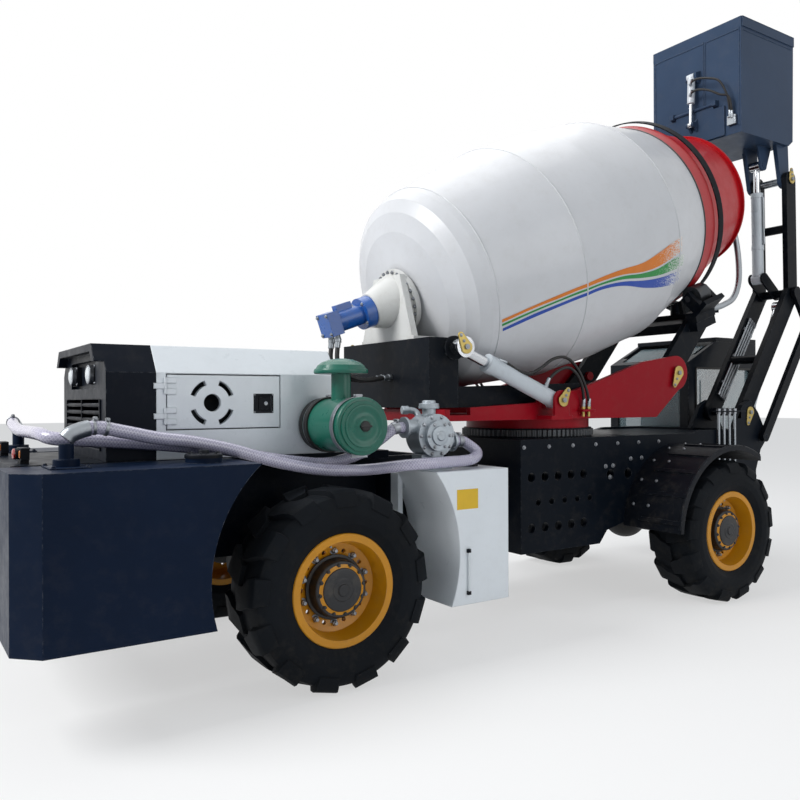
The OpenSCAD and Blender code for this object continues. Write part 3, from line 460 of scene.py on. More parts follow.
class Shape:
    """Collects solids in metres and turns them into one object that rides on a body."""

    def __init__(self):
        self.verts = []
        self.faces = []
        self.uvs = None

    def add(self, verts, faces):
        start = len(self.verts)
        self.verts += [tuple(p) for p in verts]
        self.faces += [tuple(i + start for i in f) for f in faces]
        return self

    def moved(self, place):
        self.verts = [tuple(place @ Vector(p)) for p in self.verts]
        return self

    def box(self, a, b):
        lo = [min(a[i], b[i]) for i in range(3)]
        hi = [max(a[i], b[i]) for i in range(3)]
        pts = [(x, y, z) for x in (lo[0], hi[0]) for y in (lo[1], hi[1]) for z in (lo[2], hi[2])]
        return self.add(pts, [(0, 1, 3, 2), (4, 6, 7, 5), (0, 4, 5, 1), (2, 3, 7, 6), (0, 2, 6, 4), (1, 5, 7, 3)])

    def lathe(self, origin, direction, profile, n=48):
        """Turns (distance along, radius) pairs round an axis. A zero radius closes an end."""
        d, u, v = basis(direction)
        rings = []
        pts = []
        for t, r in profile:
            if r <= 1e-6:
                rings.append([len(pts)])
                pts.append(origin + d * t)
                continue
            rings.append(list(range(len(pts), len(pts) + n)))
            for k in range(n):
                a = 2 * math.pi * k / n
                pts.append(origin + d * t + r * (math.cos(a) * u + math.sin(a) * v))
        faces = []
        for a, b in zip(rings, rings[1:]):
            for k in range(n):
                j = (k + 1) % n
                if len(a) == 1 and len(b) == 1:
                    continue
                if len(a) == 1:
                    faces.append((a[0], b[j], b[k]))
                elif len(b) == 1:
                    faces.append((a[k], a[j], b[0]))
                else:
                    faces.append((a[k], a[j], b[j], b[k]))
        return self.add(pts, faces)

    def rod(self, a, b, r, n=20, r2=None):
        length = (b - a).length
        end = r if r2 is None else r2
        return self.lathe(a, b - a, [(0, 0), (0, r), (length, end), (length, 0)], n)

    def bolt(self, p, d, r=0.012, h=0.010):
        d = d.normalized()
        self.lathe(p - d * 0.002, d, [(0, 0), (0, r * 1.35), (0.0045, r * 1.35), (0.0045, 0)], 14)
        return self.lathe(p, d, [(0.002, 0), (0.002, r), (h * 0.8, r), (h, r * 0.82), (h, 0)], 6)

    def plate(self, outline, push):
        n = len(outline)
        pts = list(outline) + [p + push for p in outline]
        faces = [tuple(range(n)), tuple(range(2 * n - 1, n - 1, -1))]
        faces += [(k, (k + 1) % n, n + (k + 1) % n, n + k) for k in range(n)]
        return self.add(pts, faces)

    def tube(self, path, r, n=14):
        """A round tube along a path, turned as little as can be, with length and angle as UV."""
        pts, faces = [], []
        uv = []
        last = None
        run = 0.0
        for i, p in enumerate(path):
            t = (path[min(i + 1, len(path) - 1)] - path[max(i - 1, 0)]).normalized()
            if last is None:
                _, u, _ = basis(t)
            else:
                u = (last - t * last.dot(t)).normalized()
                run += (p - path[i - 1]).length
            last = u
            v = t.cross(u)
            for k in range(n):
                a = 2 * math.pi * k / n
                pts.append(p + r * (math.cos(a) * u + math.sin(a) * v))
                uv.append((run, k / n))
        m = len(path)
        for i in range(m - 1):
            for k in range(n):
                j = (k + 1) % n
                faces.append((i * n + k, i * n + j, (i + 1) * n + j, (i + 1) * n + k))
        faces.append(tuple(range(n - 1, -1, -1)))
        faces.append(tuple((m - 1) * n + k for k in range(n)))
        start = len(self.verts)
        self.add(pts, faces)
        if self.uvs is None:
            self.uvs = {}
        for i, c in enumerate(uv):
            self.uvs[start + i] = c
        return self

    def make(self, name, body, look, bevel=0.0, sharp=34.0):
        mesh = bpy.data.meshes.new(name)
        mesh.from_pydata(self.verts, [], self.faces)
        bm = bmesh.new()
        bm.from_mesh(mesh)
        bmesh.ops.recalc_face_normals(bm, faces=bm.faces)
        if self.uvs is not None:
            layer = bm.loops.layers.uv.new("UVMap")
            bm.verts.ensure_lookup_table()
            for f in bm.faces:
                rounds = [self.uvs.get(lp.vert.index, (0, 0)) for lp in f.loops]
                wraps = max(c[1] for c in rounds) - min(c[1] for c in rounds) > 0.5
                for lp, c in zip(f.loops, rounds):
                    lp[layer].uv = (c[0], c[1] + 1.0 if wraps and c[1] < 0.5 else c[1])
        bm.to_mesh(mesh)
        bm.free()
        mesh.shade_smooth()
        mesh.set_sharp_from_angle(angle=math.radians(sharp))
        mesh.materials.append(M[look])
        obj = bpy.data.objects.new(name, mesh)
        bpy.context.scene.collection.objects.link(obj)
        if bevel:
            mod = obj.modifiers.new("soft_edges", "BEVEL")
            mod.width = bevel
            mod.segments = 2
            mod.limit_method = "ANGLE"
            mod.angle_limit = math.radians(38)
        if body is not None:
            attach(obj, body)
        return obj


def smooth_path(points, steps=8):
    out = []
    last = len(points) - 1
    for i in range(last):
        a, b = points[max(i - 1, 0)], points[i]
        c, d = points[i + 1], points[min(i + 2, last)]
        for j in range(steps):
            t = j / steps
            out.append(0.5 * (2 * b + (c - a) * t + (2 * a - 5 * b + 4 * c - d) * t * t
                              + (3 * b - a - 3 * c + d) * t ** 3))
    out.append(points[-1])
    return out


def path_length(path):
    return sum((b - a).length for a, b in zip(path, path[1:]))


def part_of(path, a, b):
    """The stretch of a path between two distances from its start."""
    out, run = [], 0.0
    for i, p in enumerate(path):
        if i:
            run += (p - path[i - 1]).length
        if a - 1e-9 <= run <= b + 1e-9:
            out.append(p)
    return out


# Water hoses, on the routes of their solids

HOSE_A = [(-1330, -760, 1372), (-1300, -760, 1400), (-1200, -760, 1425), (-1060, -755, 1400), (-900, -745, 1365),
          (-720, -740, 1340), (-500, -745, 1290), (-250, -765, 1215), (0, -800, 1165), (250, -840, 1155),
          (450, -1010, 1185), (700, -1030, 1190), (900, -990, 1195), (1000, -920, 1230), (960, -850, 1290),
          (915, -850, 1299), (890, -850, 1300), (867, -850, 1300)]
HOSE_B = [(-1330, 760, 1372), (-1360, 740, 1420), (-1390, 500, 1410), (-1400, 200, 1390), (-1400, -200, 1390),
          (-1400, -480, 1390), (-1350, -600, 1370), (-1150, -640, 1355), (-900, -650, 1332), (-650, -650, 1303),
          (-480, -650, 1284), (-300, -650, 1240), (-100, -655, 1206), (100, -670, 1190), (280, -720, 1235),
          (370, -800, 1320), (430, -842, 1378), (462, -850, 1390), (482, -850, 1390), (503, -850, 1390)]


def water_hose(name, points, node, elbow_length):
    path = smooth_path([V(*p) for p in points], 9)
    hose = Shape().tube(path, 0.033, 24).make(name, "chassis", "pvc", sharp=80)
    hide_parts(node)
    total = path_length(path)
    elbow = Shape().tube(part_of(path, 0.0, elbow_length), 0.0395, 20)
    elbow.make(name + "_elbow", "chassis", "steel", bevel=0.003)
    clamps = Shape()
    for d in (elbow_length + 0.012, elbow_length + 0.06, total - 0.05):
        band = part_of(path, d - 0.016, d + 0.016)
        clamps.tube(band, 0.0375, 24)
        middle = band[len(band) // 2]
        clamps.rod(middle + Vector((0, -0.02, 0.045)), middle + Vector((0, 0.02, 0.045)), 0.008, 12)
        clamps.box(middle + Vector((-0.009, -0.012, 0.034)), middle + Vector((0.009, 0.012, 0.05)))
    clamp = clamps.make(name + "_clamps", "chassis", "bolt", bevel=0.001)


water_hose("hose_right", HOSE_A, "water_hose_right", 0.13)
water_hose("hose_left", HOSE_B, "water_hose_left", 0.11)


# Wheels: local +Y points outwards

LUGS = 13


def tyre_shape(place):
    s = Shape()
    side = [(0.160, 0.2815), (0.166, 0.300), (0.172, 0.312), (0.186, 0.330), (0.1955, 0.350), (0.1975, 0.3525),
            (0.1985, 0.3565), (0.2005, 0.372), (0.203, 0.400), (0.2035, 0.4035), (0.2033, 0.4075), (0.201, 0.430),
            (0.1965, 0.455), (0.188, 0.480), (0.172, 0.500), (0.140, 0.511), (0.080, 0.514)]
    profile = [(-y, r) for y, r in side] + [(0.0, 0.514)] + [(y, r) for y, r in reversed(side)]
    profile.append(profile[0])
    s.lathe(Vector((0, 0, 0)), Vector((0, 1, 0)), profile, 104)
    track = [(0.2045, 0.452), (0.2025, 0.478), (0.195, 0.505), (0.182, 0.527), (0.160, 0.5385), (0.115, 0.540),
             (0.070, 0.540), (0.030, 0.540), (-0.014, 0.5385)]
    drop = [(-0.020, 0.0), (-0.030, -0.008), (-0.040, -0.018), (-0.030, -0.030), (-0.010, -0.036), (0, -0.036),
            (0, -0.036), (0, -0.036), (0.0, -0.034)]
    bend = [0.0, 0.0, 0.3, 0.8, 1.2, 2.2, 5.2, 6.6, 8.2]
    pitch = 360.0 / LUGS
    for sign in (1, -1):
        for k in range(LUGS):
            mid = k * pitch + (0 if sign > 0 else pitch / 2)
            pts = []
            for (y, r), (dy, dr), lean in zip(track, drop, bend):
                wide = 7.6 if y > 0.09 else 6.4
                if y < 0:
                    wide = 5.2
                for half, low in ((-wide - 1.5, True), (-wide, False), (wide, False), (wide + 1.5, True)):
                    a = math.radians(mid + half + lean)
                    yy, rr = (y + dy, r + dr) if low else (y, r)
                    pts.append(Vector((rr * math.sin(a), sign * yy, rr * math.cos(a))))
            s.add(pts, bar_faces(len(track)))
    return s.moved(place)


def hub_shape(place):
    s = Shape()
    y = Vector((0, 1, 0))
    zero = Vector((0, 0, 0))
    s.lathe(zero, y, [(0.052, 0.0), (0.052, 0.176), (0.064, 0.176), (0.066, 0.160), (0.098, 0.156),
                      (0.128, 0.1535), (0.136, 0.146), (0.138, 0.120), (0.1515, 0.1135), (0.1535, 0.106),
                      (0.1535, 0.062), (0.158, 0.058), (0.158, 0.034), (0.166, 0.030), (0.166, 0.0)], 56)
    for c, q in circle(12, 8):
        s.bolt(Vector((0.131 * q, 0.137, 0.131 * c)), y, 0.0095, 0.011)
    return s.moved(place)


def nut_shape(place):
    s = Shape()
    y = Vector((0, 1, 0))
    for c, q in circle(10):
        p = Vector((0.196 * q, 0.046, 0.196 * c))
        s.bolt(p, y, 0.017, 0.022)
        s.rod(p, p + y * 0.034, 0.010, 12)
    a = math.radians(18)
    p = Vector((0.262 * math.sin(a), 0.12, 0.262 * math.cos(a)))
    s.rod(p, p + Vector((-0.012 * math.sin(a), 0.045, -0.012 * math.cos(a))), 0.006, 12)
    return s.moved(place)


for label, wx, sign in (("rear_right", 0, -1), ("rear_left", 0, 1), ("front_right", WHEELBASE, -1),
                        ("front_left", WHEELBASE, 1)):
    spot = Matrix.Translation(V(wx, sign * TRACK, AXLE_Z)) @ Matrix.Rotation(0 if sign > 0 else math.pi, 4, "Z")
    tyre = tyre_shape(spot).make("tread_" + label, "wheel_" + label, "rubber", sharp=30)
    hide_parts("tyre_" + label)
    hub_shape(spot).make("hub_" + label, "wheel_" + label, "hub", bevel=0.002)
    nut_shape(spot).make("wheel_nuts_" + label, "wheel_" + label, "bolt")


# Drum: stripes, blades in the mouth, gearbox bolts

DRUM_UP = Vector((-math.sin(DRUM_A), 0, math.cos(DRUM_A)))
DRUM_SIDE = RIGHT
SHELL = [(-1.022, 0.744), (-0.321, 0.890), (0.150, 0.925), (0.697, 0.920), (1.252, 0.785)]
MOUTH = [(1.342, 0.764), (2.076, 0.577)]


def radius_at(s, profile):
    for (a, ra), (b, rb) in zip(profile, profile[1:]):
        if s <= b:
            return ra + (rb - ra) * (s - a) / (b - a)
    return profile[-1][1]


def drum_point(s, r, angle):
    a = math.radians(angle)
    return DRUM_C + DRUM_X * s + r * (math.cos(a) * DRUM_SIDE + math.sin(a) * DRUM_UP)


def pick(edge, s):
    """A point on a stripe's edge, by a smooth curve through its corners."""
    k = 1
    while k < len(edge) - 2 and edge[k][0] < s:
        k += 1
    (x0, y0), (x1, y1) = edge[k - 1], edge[k]
    before = edge[max(k - 2, 0)]
    after = edge[min(k + 1, len(edge) - 1)]
    m0 = (y1 - before[1]) / max(x1 - before[0], 1e-6)
    m1 = (after[1] - y0) / max(after[0] - x0, 1e-6)
    h = x1 - x0
    t = (s - x0) / h
    return ((2 * t ** 3 - 3 * t * t + 1) * y0 + (t ** 3 - 2 * t * t + t) * h * m0
            + (3 * t * t - 2 * t ** 3) * y1 + (t ** 3 - t * t) * h * m1)


STRIPES = {
    "orange": ([(-1.010, -22.5), (-0.775, -19.6), (-0.550, -17.4), (-0.376, -16.1), (-0.180, -15.1), (0.029, -14.8),
                (0.258, -15.2), (0.425, -13.6), (0.599, -11.3), (0.730, -9.6)],
               [(-1.010, -24.2), (-0.775, -21.0), (-0.550, -19.1), (-0.377, -17.7), (-0.181, -17.0), (0.030, -17.4),
                (0.261, -19.6), (0.430, -19.9), (0.583, -18.6), (0.730, -16.4)]),
    "leaf": ([(-1.008, -25.0), (-0.775, -22.0), (-0.550, -19.8), (-0.377, -18.4), (-0.181, -17.8), (0.030, -18.1),
              (0.262, -20.3), (0.432, -20.9), (0.585, -19.6), (0.780, -17.3)],
             [(-1.008, -26.3), (-0.774, -23.0), (-0.550, -20.7), (-0.376, -19.4), (-0.181, -18.7), (0.031, -19.6),
              (0.267, -22.6), (0.442, -24.4), (0.600, -24.9), (0.780, -24.6)]),
    "royal": ([(-1.000, -27.6), (-0.774, -24.0), (-0.549, -21.8), (-0.376, -20.3), (-0.181, -19.5), (0.032, -20.7),
               (0.271, -24.0), (0.448, -25.9), (0.606, -26.5), (0.760, -26.6)],
              [(-1.000, -29.3), (-0.772, -25.9), (-0.547, -23.3), (-0.375, -21.8), (-0.179, -21.0), (0.036, -22.7),
               (0.286, -27.9), (0.475, -31.1), (0.645, -32.9), (0.760, -33.2)]),
}


def stripe(name, upper, lower):
    s0, s1 = upper[0][0], upper[-1][0]
    n, m = 120, 6
    shape = Shape()
    shape.uvs = {}
    pts, faces = [], []
    for i in range(n + 1):
        s = s0 + (s1 - s0) * i / n
        top, bottom = pick(upper, s), pick(lower, s)
        for j in range(m + 1):
            angle = top + (bottom - top) * j / m
            shape.uvs[len(pts)] = (0.5 + (s - 0.28) / (s1 - 0.28) * 0.5 if s > 0.28 else 0.0, 0.2)
            pts.append(drum_point(s, radius_at(s, SHELL) + 0.0022, angle))
    for i in range(n):
        for j in range(m):
            a = i * (m + 1) + j
            faces.append((a, a + 1, a + m + 2, a + m + 1))
    shape.add(pts, faces)
    return shape.make(name, "drum", name.split("_")[1])


for colour, edges in STRIPES.items():
    stripe("stripe_" + colour + "_right", *edges)
    stripe("stripe_" + colour + "_left", *[[(s, 180.0 - a) for s, a in edge] for edge in edges])


def blades():
    s = Shape()
    n = 90
    for start in (0.0, 180.0):
        pts = []
        for i in range(n + 1):
            t = i / n
            along = 0.55 + 1.50 * t
            wall = radius_at(along, SHELL) if along < 1.25 else radius_at(max(along, 1.342), MOUTH)
            angle = start + 430.0 * t
            tall = 0.30 - 0.14 * t
            for r, ds in ((wall - 0.030, -0.006), (wall - 0.030, 0.006), (wall - tall, 0.020),
                          (wall - tall, 0.008)):
                pts.append(drum_point(along + ds, r, angle))
        s.add(pts, bar_faces(n + 1))
    return s.make("drum_blades", "drum", "roller", sharp=40)


blades()

flange = Shape()
for k in range(24):
    flange.bolt(drum_point(-1.320, 0.2145, 15 * k), -DRUM_X, 0.0105, 0.014)
for k in range(10):
    flange.bolt(drum_point(-1.560, 0.1005, 36 * k), -DRUM_X, 0.006, 0.008)
flange.make("gearbox_bolts", "cradle", "bolt")
mouth_bolts = Shape()
for k in range(32):
    mouth_bolts.bolt(drum_point(1.3325, 0.783, 11.25 * k + 4), DRUM_X, 0.010, 0.012)
mouth_bolts.make("mouth_bolts", "drum", "bolt")
motor_bits = Shape()
for along, r in ((-1.640, 0.092), (-1.930, 0.088)):
    for k in range(4):
        motor_bits.bolt(drum_point(along, r, 90 * k + 45), -DRUM_X, 0.010, 0.012)
for y in (-0.045, 0.045):
    p = DRUM_C + DRUM_X * -1.885 - DRUM_UP * 0.080 + Vector((0, y, 0))
    motor_bits.rod(p, p - DRUM_UP * 0.035, 0.021, 6)
    motor_bits.rod(p, p - DRUM_UP * 0.055, 0.016, 16)
motor_bits.make("motor_fittings", "cradle", "steel")


# Hydraulic hoses

def hydraulic_hose(name, points, r, body, other=None):
    path = smooth_path([V(*p) for p in points], 8)
    hose = Shape().tube(path, r, 14).make(name, None if other else body, "hose", sharp=80)
    ends = Shape()
    for p, q in ((path[0], path[3]), (path[-1], path[-4])):
        d = (q - p).normalized()
        ends.lathe(p, d, [(0, 0), (0, r * 1.45), (0.022, r * 1.45), (0.022, r * 1.25), (0.06, r * 1.25),
                          (0.064, r * 1.05)], 12)
    if other:
        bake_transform(hose)
        cuff = ends.make(name + "_cuffs", None, "steel")
        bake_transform(cuff)
    else:
        cuff = ends.make(name + "_cuffs", body, "steel")


def mirror(points, side):
    return [(x, -side * y, z) for x, y, z in points]


for side, word in ((1, "right"), (-1, "left")):
    long_loop = [(1440, 610, 1822), (1500, 625, 1800), (1600, 640, 1745), (1700, 645, 1735), (1800, 645, 1775),
                 (1910, 640, 1835), (2020, 630, 1856), (2120, 615, 1830), (2220, 600, 1750), (2300, 585, 1640),
                 (2345, 570, 1550), (2352, 562, 1496)]
    short_loop = [(1876, 610, 1646), (1896, 618, 1690), (1950, 625, 1740), (2030, 628, 1775), (2110, 622, 1775),
                  (2190, 610, 1725), (2250, 595, 1650), (2290, 572, 1560), (2296, 562, 1496)]
    hydraulic_hose("tilt_hose_long_" + word, mirror(long_loop, side), 0.011, "slew", "tilt_barrel")
    hydraulic_hose("tilt_hose_short_" + word, mirror(short_loop, side), 0.011, "slew", "tilt_barrel")
    block = Shape()
    block.box(V(2260, -side * 540, 1462), V(2390, -side * 600, 1480))
    block.box(V(2270, -side * 540, 1440), V(2380, -side * 548, 1500))
    block.make("hose_bracket_" + word, "slew", "bed", bevel=0.003)
    nuts = Shape()
    for x in (2352, 2296):
        nuts.rod(V(x, -side * 562, 1480), V(x, -side * 562, 1500), 0.018, 6)
        nuts.rod(V(x, -side * 562, 1425), V(x, -side * 562, 1480), 0.011, 14)
    nuts.make("hose_unions_" + word, "slew", "zinc")
    ports = Shape()
    ports.rod(V(1433, -side * 610, 1800), V(1441, -side * 610, 1828), 0.017, 6)
    ports.rod(V(1866, -side * 610, 1630), V(1878, -side * 610, 1652), 0.017, 6)
    ports.make("tilt_ports_" + word, "tilt_barrel", "steel")

for k, y in enumerate((-45, 45)):
    drop = [(517, y, 1966), (512, y, 1910), (505, y - 12, 1820), (545, y - 30, 1745), (620, y - 45, 1700),
            (720, y - 55, 1688), (810, y - 60, 1700), (898, y - 60, 1712)]
    hydraulic_hose("motor_hose_" + str(k + 1), drop, 0.016, "cradle")
for k, z in enumerate((4500, 4400)):
    route = [(4306, -14, z), (4285, -50, z + 14), (4262, -130, z + 10), (4268, -240, z - 20 - 10 * k),
             (4295, -330, z - 70 - 20 * k), (4328, -384 - 12 * k, 4300 - 20 * k),
             (4352, -390 - 20 * k, 4200 - 10 * k), (4371, -386 - 20 * k, 4100 - 10 * k)]
    hydraulic_hose("gate_hose_" + str(k + 1), route, 0.010, "bucket", "gate_barrel")
gate_bits = Shape()
gate_bits.box(V(4368, -440, 4030), V(4400.5, -355, 4115))
for k in range(2):
    gate_bits.bolt(V(4368, -372 - 52 * k, 4104), BACK, 0.007, 0.008)
gate_bits.make("gate_hose_block", "bucket", "steel", bevel=0.002)


# Pin lock plates with their bolts

def lock_plate(shape, bolts, centre, y, side, angle, big, reach):
    small, out = 0.022, []
    for r, base, a0, a1 in ((big, (0, 0), 100, 260), (small, (reach, 0), -80, 80)):
        for k in range(15):
            a = math.radians(a0 + (a1 - a0) * k / 14)
            out.append((base[0] + r * math.cos(a), base[1] + r * math.sin(a)))
    turn = math.radians(angle)
    origin = V(centre[0], y, centre[1])
    pts = [origin + Vector((u * math.cos(turn) - w * math.sin(turn), 0, u * math.sin(turn) + w * math.cos(turn)))
           for u, w in out]
    push = Vector((0, side * 0.008, 0))
    shape.plate(pts, push)
    face = Vector((0, side, 0))
    bolts.bolt(origin + push + Vector((reach * math.cos(turn), 0, reach * math.sin(turn))), face, 0.009, 0.009)
    bolts.bolt(origin + push + Vector((0.5 * reach * math.cos(turn), 0, 0.5 * reach * math.sin(turn))), face,
               0.008, 0.008)
    bolts.lathe(origin + push, face, [(0, 0.018), (0.012, 0.018), (0.012, 0.009), (0.014, 0.009), (0.014, 0.0)],
                14)


def lock_plates(name, suffix, body, rows):
    plates, bolts = Shape(), Shape()
    for row in rows:
        lock_plate(plates, bolts, *row)
    plates.make(name + "_lock_plate" + suffix, body, "zinc", bevel=0.0015)
    bolts.make(name + "_lock_bolts", body, "bolt")


lock_plates("bed", "s", "slew", [(pin, side * y, side, turn, big, reach) for side in (-1, 1) for pin, y, turn,
                                 big, reach in ((TILT_LO, 705, 58, 0.046, 0.080), (EAR, 560, 242, 0.056, 0.112))])
lock_plates("tilt", "s", "tilt_rod", [(TILT_HI, side * 690, side, 122, 0.046, 0.086) for side in (-1, 1)])
lock_plates("boom", "", "front", [(PIN_A, -550, -1, 250, 0.050, 0.100)])
lock_plates("tip", "", "bucket_pin", [(PIN_T, -505, -1, 95, 0.044, 0.082)])


# Slew ring: teeth and bolts

teeth = Shape()
outline = []
count = 84
for k in range(count):
    for a, r in ((0.0, 0.5005), (0.18, 0.514), (0.42, 0.514), (0.60, 0.5005)):
        t = 2 * math.pi * (k + a) / count
        outline.append(V(SLEW_X, 0, 1280) + Vector((r * math.cos(t), r * math.sin(t), 0)))
n = len(outline)
inner = [V(SLEW_X, 0, 1280) + Vector((0.499 * math.cos(2 * math.pi * k / n),
                                      0.499 * math.sin(2 * math.pi * k / n), 0)) for k in range(n)]
rise = Vector((0, 0, 0.048))
pts = outline + inner + [p + rise for p in outline] + [p + rise for p in inner]
faces = []
for k in range(n):
    j = (k + 1) % n
    faces += [(k, j, 2 * n + j, 2 * n + k), (n + j, n + k, 3 * n + k, 3 * n + j), (j, k, n + k, n + j),
              (2 * n + k, 2 * n + j, 3 * n + j, 3 * n + k)]
teeth.add(pts, faces)
teeth.make("slew_teeth", "front", "roller", sharp=30)
ring_bolts = Shape()
for c, q in circle(36, 5):
    ring_bolts.bolt(V(SLEW_X, 0, 1450) + Vector((0.41 * c, 0.41 * q, 0)), UP, 0.014, 0.014)
ring_bolts.make("bed_ring_bolts", "slew", "bolt")


# Rear half: lamps, latches, fuel tank fittings, air cleaner, pump

lenses = Shape()
bezels = Shape()
for y in (-225, 225):
    lenses.lathe(V(-1119, y, 1695), BACK, [(0, 0.042), (0.004, 0.041), (0.010, 0.030), (0.0125, 0.014),
                                           (0.013, 0.0)], 36)
    bezels.lathe(V(-1110, y, 1695), BACK, [(-0.012, 0.0485), (-0.012, 0.053), (0.010, 0.053), (0.013, 0.049),
                                           (0.013, 0.043), (0.006, 0.042)], 36)
    for dy in (-46, 46):
        for dz in (-46, 46):
            bezels.bolt(V(-1095, y + dy, 1695 + dz), BACK, 0.006, 0.006)
lenses.make("work_lamp_lenses", "chassis", "lens")
bezels.make("work_lamp_bezels", "chassis", "bolt")
tail = Shape()
turn_lens = Shape()
for y in (-420, 330):
    tail.lathe(V(-1499, y + 45, 1290), BACK, [(0, 0.027), (0.008, 0.026), (0.013, 0.016), (0.014, 0.0)], 28)
    for dy in (-38, 92):
        turn_lens.box(V(-1480, y + 45 + (dy - 27) * 0.75 - 13, 1272), V(-1487, y + 45 + (dy - 27) * 0.75 + 13,
                                                                        1308))
tail.make("tail_lenses", "chassis", "red_lens")
turn_lens.make("turn_lenses", "chassis", "amber_lens", bevel=0.003)

for side, word in ((-1, "right"), (1, "left")):
    y = side * 540
    latch = Shape()
    for x0, out, z0, x1, deep, z1 in ((-300, 4, 1480, -180, 2, 1492), (-300, 4, 1578, -180, 2, 1590),
                                      (-300, 4, 1491, -288, 2, 1579), (-192, 4, 1491, -180, 2, 1579),
                                      (-289, -6, 1491, -191, 10, 1579), (-268, 1, 1502, -212, 8, 1568)):
        latch.box(V(x0, y + side * out, z0), V(x1, y - side * deep, z1))
    latch.make("hood_latch_" + word, "hood_door_" + word, "plastic", bevel=0.003)
    catch = Shape()
    catch.lathe(V(-226, y + side * 1, 1535), Vector((0, side, 0)), [(0, 0.011), (0.003, 0.011), (0.003, 0.006),
                                                                    (0.001, 0.005), (0.001, 0.0)], 18)
    for x in (-294, -186):
        for z in (1486, 1584):
            catch.lathe(V(x, y + side * 4, z), Vector((0, side, 0)), [(0, 0.004), (0.0015, 0.0035), (0.002, 0.0)],
                        10)
    catch.make("hood_latch_key_" + word, "hood_door_" + word, "steel")

Shape().box(V(722, -1080, 915), V(877, -1081.6, 1031)).make("fuel_plate", "chassis", "yellow", bevel=0.0006)
gauge_tube, gauge_ends = Shape(), Shape()
gauge_tube.rod(V(801, -1091, 430), V(801, -1091, 672), 0.0065, 16)
for z in (424, 668):
    gauge_ends.box(V(790, -1080, z - 6), V(812, -1097, z + 16))
    gauge_ends.bolt(V(801, -1097, z + 5), RIGHT, 0.007, 0.007)
gauge_ends.box(V(806, -1080, 440), V(814, -1083, 660))
gauge_tube.make("fuel_gauge_tube", "chassis", "pale")
gauge_ends.make("fuel_gauge_ends", "chassis", "plastic", bevel=0.001)
caps = Shape()
for x, y, z in ((1000, -830, 1140), (1000, 830, 1140)):
    caps.lathe(V(x, y, z), UP, [(0, 0.062), (0.012, 0.062), (0.014, 0.052), (0.045, 0.052), (0.050, 0.046),
                                (0.050, 0.0)], 28)
    for c, q in circle(3):
        caps.box(V(x + 52 * c - 9, y + 52 * q - 9, z + 14), V(x + 52 * c + 9, y + 52 * q + 9, z + 42))
caps.make("tank_caps", "chassis", "plastic", bevel=0.002)
lids = Shape()
for y in (-850, 850):
    lids.lathe(V(-700, y, 1270), UP, [(-0.004, 0.094), (0.010, 0.094), (0.016, 0.088), (0.016, 0.03),
                                      (0.034, 0.026), (0.036, 0.0)], 40)
    for c, q in circle(6):
        lids.bolt(V(-700 + 76 * c, y + 76 * q, 1285), UP, 0.008, 0.009)
lids.make("tank_lids", "chassis", "plastic")

cleaner = Shape()
cleaner.lathe(V(120, -1050, 1410), RIGHT, [(-0.0, 0.118), (0.006, 0.116), (0.008, 0.104), (0.003, 0.098),
                                           (0.003, 0.052), (0.010, 0.046), (0.012, 0.020), (0.012, 0.0)], 48)
cleaner.lathe(V(120, -1030, 1410), RIGHT, [(-0.012, 0.150), (-0.012, 0.1585), (0.004, 0.1585), (0.009, 0.153),
                                           (0.009, 0.138)], 56)
cleaner.lathe(V(117, -800, 1700), UP, [(0.004, 0.144), (0.000, 0.149), (0.006, 0.1525), (0.022, 0.1525),
                                       (0.028, 0.147)], 56)
cleaner.make("air_cleaner_cap", "chassis", "green", sharp=50)
knob = Shape()
knob.lathe(V(120, -1061, 1410), RIGHT, [(0, 0.030), (0.010, 0.029), (0.016, 0.022), (0.018, 0.0)], 24)
knob.rod(V(120 - 34, -1072, 1410), V(120 + 34, -1072, 1410), 0.007, 12)
knob.lathe(V(120, -650, 1410), RIGHT, [(-0.012, 0.151), (-0.012, 0.161), (0.026, 0.161), (0.026, 0.151)], 48)
knob.lathe(V(120, -600, 1410), RIGHT, [(-0.034, 0.1505), (-0.034, 0.1535), (0.008, 0.1535), (0.008, 0.1505)], 48)
knob.make("air_cleaner_rubber", "chassis", "hose")
straps = Shape()
for y in (-965, -645):
    straps.lathe(V(120, y, 1410), RIGHT, [(-0.018, 0.1562), (-0.018, 0.1588), (0.018, 0.1588), (0.018, 0.1562)],
                 56)
    straps.box(V(110, y - 14, 1566), V(150, y + 14, 1584))
    straps.rod(V(104, y, 1576), V(160, y, 1576), 0.006, 10)
straps.box(V(70, -1000, 1238), V(170, -990, 1275))
straps.make("air_cleaner_bands", "chassis", "bolt", bevel=0.001)

pump = Shape()
for c, q in circle(10):
    pump.bolt(V(690 + 112 * c, -930, 1340 + 112 * q), RIGHT, 0.009, 0.011)
for c, q in circle(6):
    pump.bolt(V(690 + 74 * c, -960, 1340 + 74 * q), RIGHT, 0.008, 0.009)
for x, z, s in ((866, 1300, 1), (504, 1390, -1)):
    for c, q in circle(4, 45):
        pump.bolt(V(x - s * 16, -850 + 53 * c, z + 53 * q), Vector((-s, 0, 0)), 0.007, 0.008)
for x in (590, 770):
    for y in (-915, -785):
        pump.bolt(V(x, y, 1160), UP, 0.010, 0.011)
pump.make("pump_bolts", "chassis", "bolt")
outlet = Shape()
outlet.lathe(V(690, -850, 1516), UP, [(0, 0.060), (0.014, 0.060), (0.016, 0.042), (0.030, 0.040), (0.034, 0.030),
                                      (0.034, 0.0)], 30)
outlet.tube(smooth_path([V(690, -790, 1380), V(690, -750, 1440), V(680, -720, 1480), V(640, -700, 1490)], 6),
            0.020, 14)
outlet.rod(V(640, -700, 1490), V(600, -690, 1490), 0.026, 16)
outlet.lathe(V(690, -960, 1340), RIGHT, [(0, 0.058), (0.010, 0.056), (0.012, 0.030), (0.020, 0.026),
                                         (0.020, 0.0)], 30)
outlet.make("pump_fittings", "chassis", "cast", bevel=0.002)

